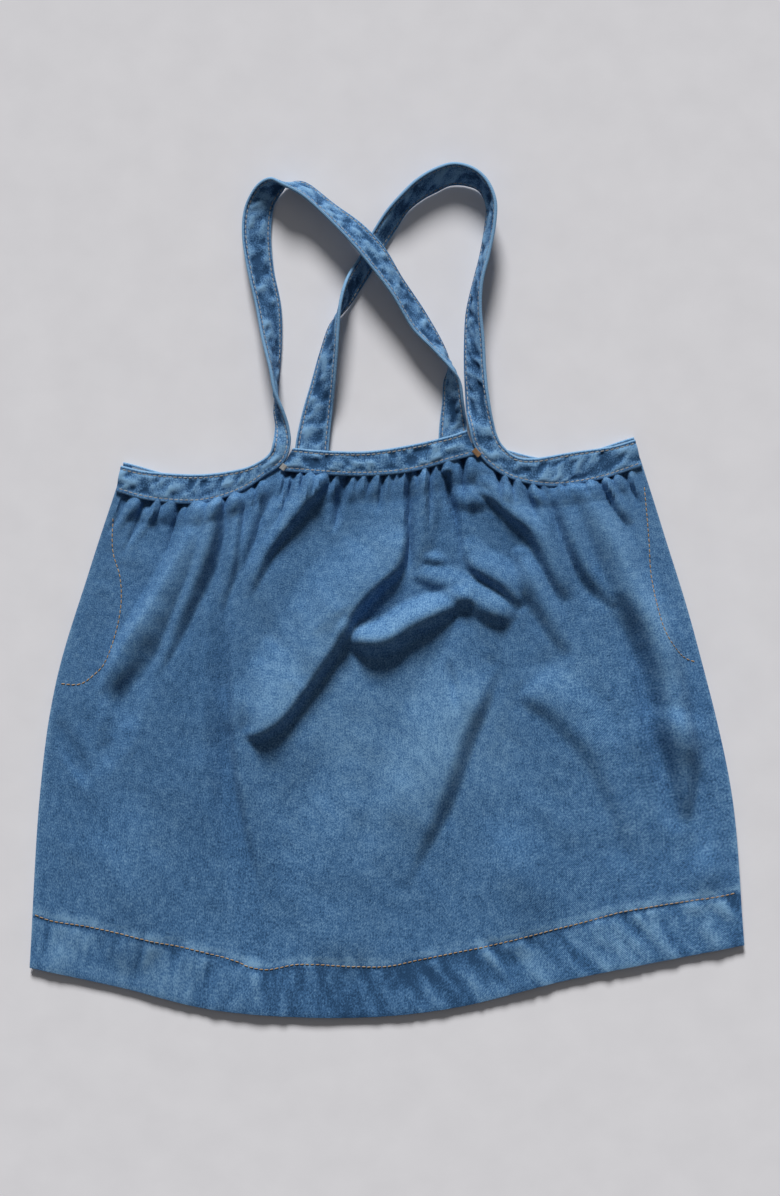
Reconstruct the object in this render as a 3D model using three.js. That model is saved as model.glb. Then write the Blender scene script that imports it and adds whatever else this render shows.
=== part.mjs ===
// A child's denim smock apron, laid out flat: a gathered skirt on a waistband, and two shoulder straps that
// cross above it. Each strap is one strip with the side band that it grows out of. Millimetres, +Z up, +Y from
// the hem towards the straps, the front of the apron facing up. The origin is the bottom centre of its box.
import * as THREE from 'three';

// Driving dimensions.
const CLOTH = 0.9; // one layer of denim
const GAP = 0.3; // air between two layers that touch
const LAYER = CLOTH + GAP;
const STRAP_THICKNESS = 1.5; // a strap is a strip folded on itself
const THREAD = 0.5;
const SIDE_LIFT = 3.7; // underside of the front panel at the side seams
const CROWN = 7; // how much higher the gathered front stands in the middle
const WAIST_HALF_WIDTH = 157;
const WAIST_Y = 66;
const CENTRE_X = -2.5;
const FLARE = 0.2; // growth of the half width for each millimetre below the waist
const HEM_START = 0.924; // where a hem's row of stitches lies, as a share of the way down a panel
const HEM_END = 0.995;
const HEM_ROW = 0.002; // width of that row, as such a share
const SEAM_WIDTH = 6;
const POCKET_CLOTH = 0.8;
const STITCH_LIFT = 0.1; // air between a row of stitches and the cloth under it
const TACK_LIFT = 1.4; // air between a front bar tack and the band under it

const DENIM = { color: 0x4a6d99, roughness: 0.95, metalness: 0 };
const STRAP_DENIM = { color: 0x4f759f, roughness: 0.95, metalness: 0 };
const LINING = { color: 0x3f5f88, roughness: 0.95, metalness: 0 };
const TOPSTITCH = { color: 0xa8702f, roughness: 0.7, metalness: 0 };

const apron = new THREE.Group();

/** Adds one named piece to the apron. */
function piece(name, geometry, finish) {
  const mesh = new THREE.Mesh(geometry, new THREE.MeshStandardMaterial(finish));
  mesh.name = name;
  apron.add(mesh);
}

/** A smooth curve through [x, y] or [x, y, z] points. */
function curve(...points) {
  return new THREE.CatmullRomCurve3(points.map(([x, y, z = 0]) => new THREE.Vector3(x, y, z)));
}

/** The patch between four edges: top and bottom run left to right, left and right run top to bottom. */
function patch(top, bottom, left, right) {
  const [topLeft, topRight] = [top.getPoint(0), top.getPoint(1)];
  const [bottomLeft, bottomRight] = [bottom.getPoint(0), bottom.getPoint(1)];
  return (u, v) => {
    const ruled = top.getPoint(u).lerp(bottom.getPoint(u), v).add(left.getPoint(v).lerp(right.getPoint(v), u));
    const upper = topLeft.clone().lerp(topRight, u);
    const lower = bottomLeft.clone().lerp(bottomRight, u);
    return ruled.sub(upper.lerp(lower, v));
  };
}

/** The strip between two edges that run side by side: u crosses it and v runs along it. */
function strip(near, far) {
  return (u, v) => near.getPoint(v).lerp(far.getPoint(v), u);
}

/** The part of a surface between two values of u and two of v. */
function part(surface, [u0, u1], [v0, v1]) {
  return (u, v) => surface(THREE.MathUtils.lerp(u0, u1, u), THREE.MathUtils.lerp(v0, v1, v));
}

/** The surface raised to a height, which is a number or a function of x and y. */
function raised(surface, height) {
  return (u, v) => {
    const point = surface(u, v);
    point.z += typeof height === 'number' ? height : height(point.x, point.y);
    return point;
  };
}

/** The direction square to a surface, on the side from which u runs to the right and v runs down. */
function normal(surface, u, v) {
  const step = 1e-3;
  const [left, right] = [Math.max(0, u - step), Math.min(1, u + step)];
  const [up, down] = [Math.max(0, v - step), Math.min(1, v + step)];
  const across = surface(right, v).sub(surface(left, v));
  const along = surface(u, up).sub(surface(u, down));
  return across.cross(along).normalize();
}

/** A layer of cloth on a surface, from one offset above it to another, with the cells counted each way. */
function sheet(surface, [from, to], across, along) {
  const geometry = new THREE.BoxGeometry(1, 1, 1, across, along, 1);
  const place = geometry.attributes.position;
  for (let i = 0; i < place.count; i++) {
    const u = place.getX(i) + 0.5;
    const v = 0.5 - place.getY(i);
    const offset = place.getZ(i) > 0 ? to : from;
    const point = surface(u, v).addScaledVector(normal(surface, u, v), offset);
    place.setXYZ(i, point.x, point.y, point.z);
  }
  return geometry;
}

/** Height of the front panel's underside: lowest along the side seams and nearly level across the middle. */
function frontHeight(x, y) {
  const halfWidth = WAIST_HALF_WIDTH + (WAIST_Y - y) * FLARE;
  const across = Math.min(1, Math.abs(x - CENTRE_X) / halfWidth);
  return SIDE_LIFT + CROWN * (1 - across ** 4) ** 2;
}

/** Offsets of the layer that lies above or below another, counted from that other's underside. */
const ABOVE = [LAYER, LAYER + CLOTH];
const BELOW = [-LAYER, -GAP];
const ON = [0, CLOTH];
const OVER_BAND = [2 * LAYER, 2 * LAYER + THREAD];

// The skirt: two flared panels whose top edges go up inside the waistband, as the seams need.
const leftSide = curve([-161, 64], [-178, 12], [-198, -55], [-208, -126], [-213.9, -225]);
const rightSide = curve([151.5, 79], [166, 33], [185, -30], [206, -120], [213.9, -211.5]);
const hemLine = curve(
  [-213.9, -225], [-160, -236.7], [-100, -250.8], [-25, -255], [40, -249], [110, -232], [213.9, -211.5],
);
const frontTop = curve(
  [-161, 64], [-142, 59], [-112, 57], [-88, 63.5], [-62, 77], [-34, 74], [-10, 73], [20, 77],
  [50, 84], [74, 71.5], [96, 67], [128, 71], [151.5, 79],
);
const front = raised(patch(frontTop, hemLine, leftSide, rightSide), frontHeight);
const hem = [HEM_START, HEM_END];
const hemRow = [HEM_START, HEM_START + HEM_ROW];
const COLUMNS = 26; // cells across the front; what lies on it shares them, so that the layers stay parallel
const inside = [1 / COLUMNS, 1 - 1 / COLUMNS];
piece('front_panel', sheet(front, ON, COLUMNS, 12), DENIM);
piece('front_hem_facing', sheet(part(front, inside, hem), BELOW, COLUMNS - 2, 2), LINING);
piece('front_hem_stitching', sheet(part(front, inside, hemRow), [LAYER, LAYER + THREAD], COLUMNS - 2, 1), TOPSTITCH);

const backTop = curve([-160, 57], [-112, 47], [-55, 56], [0, 60], [50, 68], [100, 60], [151, 71]);
const backLeft = curve([-160, 57], [-177, 11], [-197, -55], [-207, -126], [-213, -223]);
const backRight = curve([151, 71], [165, 30], [184, -30], [205, -120], [213, -209.5]);
const backHem = curve([-213, -223], [-160, -234.5], [-100, -249], [-25, -253], [40, -247], [110, -230], [213, -209.5]);
const back = patch(backTop, backHem, backLeft, backRight);
piece('back_panel', sheet(back, ON, 20, 8), DENIM);
piece('back_hem_facing', sheet(part(back, [0.04, 0.96], hem), ABOVE, 18, 1), LINING);
const ON_BACK_HEM = [LAYER + CLOTH + STITCH_LIFT, LAYER + THREAD + CLOTH];
piece('back_hem_stitching', sheet(part(back, [0.05, 0.95], hemRow), ON_BACK_HEM, 18, 1), TOPSTITCH);

// The side seams join the panels below the pocket mouths.
for (const [side, edge, inward] of [['left', leftSide, 1], ['right', rightSide, -1]]) {
  const stations = [0.56, 0.67, 0.78, 0.89, 0.99].map((t) => edge.getPoint(t));
  const [outer, inner] = [1, SEAM_WIDTH].map((inset) => curve(...stations.map(({ x, y }) => [x + inward * inset, y])));
  const seam = side === 'left' ? strip(outer, inner) : strip(inner, outer);
  piece(`${side}_side_seam`, sheet(seam, [LAYER, SIDE_LIFT - GAP], 1, 10), LINING);
}

// The pockets open in the side seams: two bags each, held to the front by a curved row of stitches.
const pockets = {
  left: {
    mouth: curve([-167, 42], [-176, 14], [-185, -16], [-190, -36], [-194.5, -50]),
    bag: curve([-163.5, 43], [-161.5, 14], [-159.5, -10], [-166.5, -38], [-190, -55.5]),
  },
  right: {
    mouth: curve([161, 45], [169, 20], [175, -2], [181, -20], [185.5, -36]),
    bag: curve([155.5, 50], [157, 14], [161.5, -10], [168.5, -30], [182, -41.5]),
  },
};
for (const [side, { mouth, bag }] of Object.entries(pockets)) {
  const bagShape = side === 'left' ? strip(mouth, bag) : strip(bag, mouth);
  const frontBag = [-STITCH_LIFT, POCKET_CLOTH - STITCH_LIFT];
  piece(`${side}_pocket_back_bag`, sheet(raised(bagShape, LAYER), [0, POCKET_CLOTH], 2, 8), LINING);
  piece(`${side}_pocket_front_bag`, sheet(raised(bagShape, 2 * LAYER), frontBag, 2, 8), LINING);
  const row = side === 'left' ? part(bagShape, [0.98, 1], [0, 1]) : part(bagShape, [0, 0.02], [0, 1]);
  const onFront = [LAYER + STITCH_LIFT, LAYER + STITCH_LIFT + THREAD];
  piece(`${side}_pocket_stitching`, sheet(raised(row, frontHeight), onFront, 1, 12), TOPSTITCH);
}

// The front waistband: a straight centre band between the two side bands that turn up into the straps.
const centreBand = strip(
  curve([-63.5, 71.2], [-34, 68.7], [-10, 68.1], [14, 70.5], [35, 76], [53, 80.8]),
  curve([-55.8, 84.9], [-34, 83.1], [-10, 83.1], [14, 86.7], [35, 91.5], [47.3, 95.4]),
);
const leftBand = strip(
  curve([-162, 59.1], [-142, 53.7], [-112, 51.9], [-88, 58.5], [-72, 68.5], [-61, 76.5], [-57.2, 88.4]),
  curve([-159, 74.7], [-142, 71.1], [-112, 69.3], [-88, 72.3], [-76, 77], [-70, 82], [-68.2, 87.4]),
);
const rightBand = strip(
  curve([48.8, 97.4], [52, 85.5], [60.5, 74.5], [73, 66.8], [88.8, 62.7], [103.8, 62.1], [127.8, 66.3], [152.4, 74.1]),
  curve([63.9, 98.9], [65.5, 93], [69, 86.5], [76.8, 80.1], [88, 78.9], [109.8, 82.5], [133.8, 86.1], [148.2, 90.3]),
);
const bands = { centre_front: [centreBand, 8], left_side: [leftBand, 20], right_side: [rightBand, 22] };
for (const [name, [outline, cells]] of Object.entries(bands)) {
  const band = raised(outline, frontHeight);
  piece(`${name}_band`, sheet(band, ABOVE, 2, cells), DENIM);
  piece(`${name}_band_facing`, sheet(part(band, [0.02, 0.98], [0.01, 0.99]), BELOW, 2, cells), LINING);
  const rows = { lower: [0.07, 0.1], upper: [0.9, 0.93] };
  for (const [row, width] of Object.entries(rows)) {
    piece(`${name}_band_${row}_stitching`, sheet(part(band, width, [0.01, 0.99]), OVER_BAND, 1, cells), TOPSTITCH);
  }
}

// The back waistband lies under everything, with its facing inside the apron.
const backBand = strip(
  curve([-160, 57.4], [-112, 47.4], [-55, 56.4], [0, 60.4], [50, 68.4], [100, 60.4], [151, 71.4]),
  curve([-158, 77], [-112, 67], [-55, 76.5], [0, 80.5], [50, 88.5], [100, 79], [148, 92]),
);
piece('back_waistband', sheet(backBand, ON, 1, 20), DENIM);
piece('back_waistband_facing', sheet(part(backBand, [0.03, 0.97], [0.02, 0.98]), ABOVE, 1, 20), LINING);

// The straps, as pairs of edges. A strap rests on one edge, leans over, and turns over three times or once on
// its way from the front band over the shoulder to the back band. The left strap lies over the right one.
const leftStrap = strip(
  curve(
    [-67.9, 89.2, 11.4], [-66.6, 98, 5.5], [-67.4, 107.3, 2], [-66.2, 118.5, 0.9], [-64.9, 131.8, 0.9],
    [-63.3, 150.3, 0.9], [-63.6, 170.7, 0.9], [-67.8, 192.3, 0.9], [-69.4, 212.7, 0.9], [-68, 228.3, 0.9],
    [-65.4, 234.9, 0.9], [-62.4, 239.4, 0.9], [-58.8, 243.4, 0.9], [-48.6, 244, 1.5], [-31.2, 230.7, 4.5],
    [-15, 218.7, 9], [-1.8, 204.9, 9], [9, 186.9, 5.5], [22.2, 167.7, 1.6], [33.2, 147.9, 0.9],
    [37.2, 134.7, 0.9], [34.2, 125.1, 0.9], [33.3, 113.1, 0.9], [31.9, 104, 1.2], [31.2, 97.4, 2.2],
  ),
  curve(
    [-56.6, 89.8, 12.4], [-58.6, 98, 14], [-61.9, 107.3, 16.6], [-66.7, 118.5, 18.4], [-69.6, 132.3, 18],
    [-74.5, 150.3, 15], [-78.6, 170.7, 11], [-83.7, 192.3, 9], [-86.7, 212.7, 6.5], [-85.3, 228.9, 6],
    [-78.6, 240.9, 10.5], [-70.2, 245.2, 15.5], [-62.6, 241.5, 18.4], [-49.9, 234.3, 16.8], [-37.2, 222.9, 17.5],
    [-22.6, 207.5, 19], [-11.4, 194.1, 19.2], [3, 175.5, 18.5], [15, 155.7, 16], [27.6, 143.1, 17.4],
    [38.8, 131.1, 18.4], [43.8, 123.3, 15], [45.6, 113.1, 11.8], [47, 105, 7.5], [48, 98.9, 3.4],
  ),
);
const rightStrap = strip(
  curve(
    [48.5, 98.9, 10.4], [47.4, 107.7, 5], [47, 119.7, 1.6], [46.4, 132.3, 0.9], [46.5, 150.3, 0.9],
    [47.7, 166.5, 0.9], [51.6, 183.3, 0.9], [55.8, 199.5, 0.9], [58.8, 216.3, 0.9], [59.8, 230, 0.9],
    [55.8, 239.1, 0.9], [47.4, 242.7, 0.9], [37.8, 242.7, 0.9], [30, 239.1, 0.9], [21, 234.3, 0.9],
    [12.3, 227.1, 0.9], [5.4, 216.3, 0.9], [-0.9, 206.1, 0.9], [-5.4, 197.1, 0.9], [-10.8, 188.1, 0.9],
    [-16.8, 179.1, 0.9], [-22, 171.7, 0.9], [-27.3, 165.9, 0.9], [-34.2, 158.7, 0.9], [-39.9, 143.1, 0.9],
    [-45.1, 125.7, 1.3], [-50.4, 108.3, 1.9], [-54.4, 90.2, 2.4],
  ),
  curve(
    [63.8, 100.2, 12.4], [62, 107.7, 14], [59.9, 119.7, 14.8], [58.7, 132.3, 14.6], [57.6, 150.3, 15.4],
    [55.9, 168.3, 17], [56.6, 183.9, 18.4], [60.5, 199.5, 18.8], [63.9, 216.3, 18.8], [64.4, 231.5, 18.8],
    [59.4, 243.9, 18], [51, 251.5, 16.8], [39.6, 254.4, 15.4], [28.2, 251.1, 15.2], [17.6, 244.7, 15],
    [8.4, 236.1, 14], [-0.6, 226.5, 10.5], [-8.1, 215.7, 6.5], [-13.2, 206.7, 5.5], [-17.7, 198, 6],
    [-22.8, 189.3, 10], [-25.8, 180.3, 15.8], [-27.9, 169.5, 18.2], [-28.6, 157.5, 17.5], [-29.4, 143.1, 15.4],
    [-30.6, 125.7, 11], [-32.4, 108.3, 5], [-34.2, 91.9, 3.2],
  ),
);
const straps = { left: [leftStrap, 72], right: [(u, v) => rightStrap(1 - u, v), 81] };
const ROWS = { inner: [0.15, 0.18], outer: [0.82, 0.85] }; // each row's place across a strap, as shares of its width
const ROW_LENGTH = [0.04, 0.96];
const half = STRAP_THICKNESS / 2;
const rowHeight = half + 2 * GAP; // twists bend the strap towards its stitches, so they keep twice the gap
for (const [side, [strap, cells]] of Object.entries(straps)) {
  piece(`${side}_strap`, sheet(strap, [-half, half], 2, cells), STRAP_DENIM);
  for (const [row, width] of Object.entries(ROWS)) {
    const line = part(strap, width, ROW_LENGTH);
    piece(`${side}_strap_${row}_stitching`, sheet(line, [rowHeight, rowHeight + THREAD], 1, cells), TOPSTITCH);
  }
}

// The straps' sewn ends, inside the back of the apron, and the bar tacks that hold every end.
const BACK_TACK = [0.82, 0.88]; // the back tacks' place along a sewn end
const onStrap = [STRAP_THICKNESS + GAP, STRAP_THICKNESS + GAP + THREAD];
const backEnds = {
  left: strip(curve([30.2, 74], [31.1, 96.1]), curve([49.4, 75.5], [48.2, 97.6])),
  right: strip(curve([-56.5, 62], [-54.6, 88.6]), curve([-36.5, 62], [-34.3, 90.3])),
};
for (const [side, end] of Object.entries(backEnds)) {
  const sewn = raised(part(end, [0, 1], [1, 0]), 2 * LAYER);
  piece(`${side}_strap_back_end`, sheet(sewn, [0, STRAP_THICKNESS], 1, 2), STRAP_DENIM);
  piece(
    `${side}_back_bar_tack`,
    sheet(part(sewn, [0.1, 0.9], BACK_TACK), onStrap, 1, 1),
    TOPSTITCH,
  );
}
const frontTacks = {
  left: [-61.8, 74.8, 0.6],
  right: [54.6, 83.2, -0.8],
};
const TACK_LENGTH = 9;
const TACK_WIDTH = 1.6;
for (const [side, [x, y, turn]] of Object.entries(frontTacks)) {
  const tack = new THREE.BoxGeometry(TACK_LENGTH, TACK_WIDTH, THREAD);
  tack.rotateZ(turn);
  tack.translate(x, y, frontHeight(x, y) + 2 * LAYER + TACK_LIFT);
  piece(`${side}_front_bar_tack`, tack, TOPSTITCH);
}

export default apron;
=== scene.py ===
"""A child's denim smock apron, laid out flat under soft studio light.

The skirt's front is a gathered sheet that is designed fold by fold and then settled a little as cloth.
Each shoulder strap is one sewn strip together with the side band that it grows out of. Lengths are
millimetres unless a docstring says metres.
"""

import logging
import math
from dataclasses import dataclass, field
from enum import Enum
from typing import Callable, Sequence

import bpy
import numpy as np
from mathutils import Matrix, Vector


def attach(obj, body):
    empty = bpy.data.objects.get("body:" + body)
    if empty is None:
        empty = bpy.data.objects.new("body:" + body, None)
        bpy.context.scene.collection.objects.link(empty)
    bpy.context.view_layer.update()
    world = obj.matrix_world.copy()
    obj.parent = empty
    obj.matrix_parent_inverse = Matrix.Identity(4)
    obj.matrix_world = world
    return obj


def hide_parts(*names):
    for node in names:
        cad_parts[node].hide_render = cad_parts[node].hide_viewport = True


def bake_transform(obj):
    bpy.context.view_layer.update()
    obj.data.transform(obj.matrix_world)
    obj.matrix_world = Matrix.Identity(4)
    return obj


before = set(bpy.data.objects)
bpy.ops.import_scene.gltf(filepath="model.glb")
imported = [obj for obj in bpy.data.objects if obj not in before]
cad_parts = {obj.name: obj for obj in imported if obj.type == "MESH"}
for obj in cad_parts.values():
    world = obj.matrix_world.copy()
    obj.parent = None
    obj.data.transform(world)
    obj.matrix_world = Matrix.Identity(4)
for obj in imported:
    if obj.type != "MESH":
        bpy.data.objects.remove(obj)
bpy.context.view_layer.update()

LOG = logging.getLogger("smock_apron")
MM = 0.001
SURFACE = Callable[[np.ndarray, np.ndarray], np.ndarray]
POINTS = Sequence[Sequence[float]]

# Driving dimensions.
CLOTH = 0.9
GAP = 0.3
LAYER = CLOTH + GAP
SIDE_LIFT = 3.7
CROWN = 7.0
WAIST_HALF_WIDTH = 157.0
WAIST_Y = 66.0
CENTRE_X = -2.5
FLARE = 0.2
SKIRT_LENGTH = 305.0
HEM_START = 0.924  # where the hem's turning starts, as a share of the way down
ROW_CROWDING = 1.2  # power that brings the front's rows closer together towards the waist
HEM_CROWN = 0.03  # share of the crown that is left at the hem
HEM_DROP = 0.8  # how much lower the underside is at the hem


class Slot(Enum):
    """The material slots."""

    SKIRT = "skirt_denim"
    BAND = "band_denim"
    STRAP = "strap_denim"
    INSIDE = "inside_denim"
    POCKET = "pocket_cloth"
    THREAD = "topstitch_thread"
    TACK = "bar_tack_thread"


# ------------------------------
# Curves and surfaces
# ------------------------------


def smooth_curve(points: POINTS, at: np.ndarray) -> np.ndarray:
    """Evaluate a smooth curve that passes through its points.

    Args:
        points: The curve's points, as [x, y] or [x, y, z].
        at: Places along the curve, 0 at its first point and 1 at its last.

    Returns:
        One row of three coordinates for each place.
    """
    p = np.array([[*q, 0.0][:3] for q in points], float)
    p = np.vstack([2 * p[0] - p[1], p, 2 * p[-1] - p[-2]])
    place = np.clip(np.asarray(at, float), 0, 1) * (len(points) - 1)
    index = np.minimum(place.astype(int), len(points) - 2)
    t = (place - index)[..., None]
    a, b, c, d = (p[index + k] for k in range(4))
    return 0.5 * (2 * b + (c - a) * t + (2 * a - 5 * b + 4 * c - d) * t**2 + (3 * b - a - 3 * c + d) * t**3)


def patch(top: POINTS, bottom: POINTS, left: POINTS, right: POINTS) -> SURFACE:
    """Build the patch between four edges; top and bottom run left to right, left and right run downwards."""

    def surface(u: np.ndarray, v: np.ndarray) -> np.ndarray:
        """Return the points of the patch at u across and v down."""
        upper, lower = smooth_curve(top, u), smooth_curve(bottom, u)
        port, starboard = smooth_curve(left, v), smooth_curve(right, v)
        s, t = u[..., None], v[..., None]
        ends = (top[0], top[-1], bottom[0], bottom[-1])
        first, second, third, fourth = (np.array([*end, 0.0][:3]) for end in ends)
        plane = (1 - t) * ((1 - s) * first + s * second) + t * ((1 - s) * third + s * fourth)
        return (1 - t) * upper + t * lower + (1 - s) * port + s * starboard - plane

    return surface


def strip(near: POINTS, far: POINTS) -> SURFACE:
    """Build the strip between two edges that run side by side; u crosses it and v runs along it."""

    def surface(u: np.ndarray, v: np.ndarray) -> np.ndarray:
        """Return the points of the strip at u across and v along."""
        return (1 - u[..., None]) * smooth_curve(near, v) + u[..., None] * smooth_curve(far, v)

    return surface


def part(surface: SURFACE, across: tuple[float, float], along: tuple[float, float]) -> SURFACE:
    """Cut a surface down to a range of u and a range of v."""
    return lambda u, v: surface(
        across[0] + (across[1] - across[0]) * u, along[0] + (along[1] - along[0]) * v
    )


def lifted(surface: SURFACE, height: Callable[[np.ndarray, np.ndarray], np.ndarray] | float) -> SURFACE:
    """Raise a surface by a number of millimetres or by a function of x and y."""

    def result(u: np.ndarray, v: np.ndarray) -> np.ndarray:
        """Return the raised points."""
        p = surface(u, v).copy()
        p[..., 2] += height(p[..., 0], p[..., 1]) if callable(height) else height
        return p

    return result


def smoothstep(low: float, high: float, x: np.ndarray) -> np.ndarray:
    """Rise smoothly from 0 at low to 1 at high."""
    t = np.clip((x - low) / (high - low), 0, 1)
    return t * t * (3 - 2 * t)


def bump(q: np.ndarray) -> np.ndarray:
    """Return a smooth hump: 1 at 0, and 0 from 1 onwards on either side."""
    return np.clip(1 - q * q, 0, None) ** 2


@dataclass(frozen=True)
class Hills:
    """Smooth random hills between -1 and 1, the same on every run.

    Attributes:
        seed: Seed of the hills.
    """

    seed: int

    def at(self, x: np.ndarray, y: np.ndarray) -> np.ndarray:
        """Return the hills' height; a hill is about one unit across.

        Args:
            x: Places across.
            y: Places along.

        Returns:
            Heights.
        """
        knots = np.random.RandomState(self.seed).uniform(-1, 1, (97, 97))
        i, j = np.floor(x).astype(int), np.floor(y).astype(int)
        s, t = smoothstep(0, 1, x - i), smoothstep(0, 1, y - j)
        a, b, c, d = (knots[(i + m) % 97, (j + n) % 97] for m, n in ((0, 0), (1, 0), (0, 1), (1, 1)))
        return (1 - t) * ((1 - s) * a + s * b) + t * ((1 - s) * c + s * d)


def front_height(x: np.ndarray, y: np.ndarray) -> np.ndarray:
    """Return the height of the front's underside: lowest along the side seams, and low all along the hem."""
    half_width = WAIST_HALF_WIDTH + (WAIST_Y - y) * FLARE
    across = np.minimum(1, np.abs(x - CENTRE_X) / half_width)
    crown = CROWN * (1 - (1 - HEM_CROWN) * smoothstep(-20, 235, -y))
    return SIDE_LIFT - HEM_DROP * smoothstep(60, 200, -y) + crown * (1 - across**4) ** 2


# ------------------------------
# Folds
# ------------------------------


@dataclass(frozen=True)
class Fold:
    """One ridge or crease, drawn from the waist downwards as x, y and height; a crease has negative heights.

    Attributes:
        crest: Points along the crest.
        left: Width of the slope on the left of someone who follows the crest.
        right: Width of the slope on the right.
    """

    crest: POINTS
    left: float
    right: float

    def height(self, x: np.ndarray, y: np.ndarray) -> np.ndarray:
        """Return what the fold adds at each place.

        Args:
            x: Places across, in millimetres.
            y: Places up, in millimetres.

        Returns:
            Heights, in millimetres.
        """
        line = smooth_curve(self.crest, np.linspace(0, 1, 6 * len(self.crest)))
        best = np.full(x.shape, np.inf)
        tall, side, total = np.zeros(x.shape), np.zeros(x.shape), np.zeros(x.shape)
        for start, end in zip(line[:-1], line[1:]):
            run = end[:2] - start[:2]
            t = np.clip(((x - start[0]) * run[0] + (y - start[1]) * run[1]) / (run @ run), 0, 1)
            dx, dy = x - start[0] - t * run[0], y - start[1] - t * run[1]
            distance = np.hypot(dx, dy)
            weight = (distance**2 + 0.5) ** -3.0
            best = np.minimum(best, distance)
            tall += weight * (start[2] + t * (end[2] - start[2]))
            side += weight * (run[0] * dy - run[1] * dx) / (np.hypot(*run) * np.maximum(distance, 1e-6))
            total += weight
        tall, side = tall / total, side / total
        taper = 0.5 + 0.5 * np.abs(tall) / max(abs(point[2]) for point in self.crest)
        width = self.right + (self.left - self.right) * smoothstep(-0.8, 0.8, side)
        return tall * bump(best / (taper * width))


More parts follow.
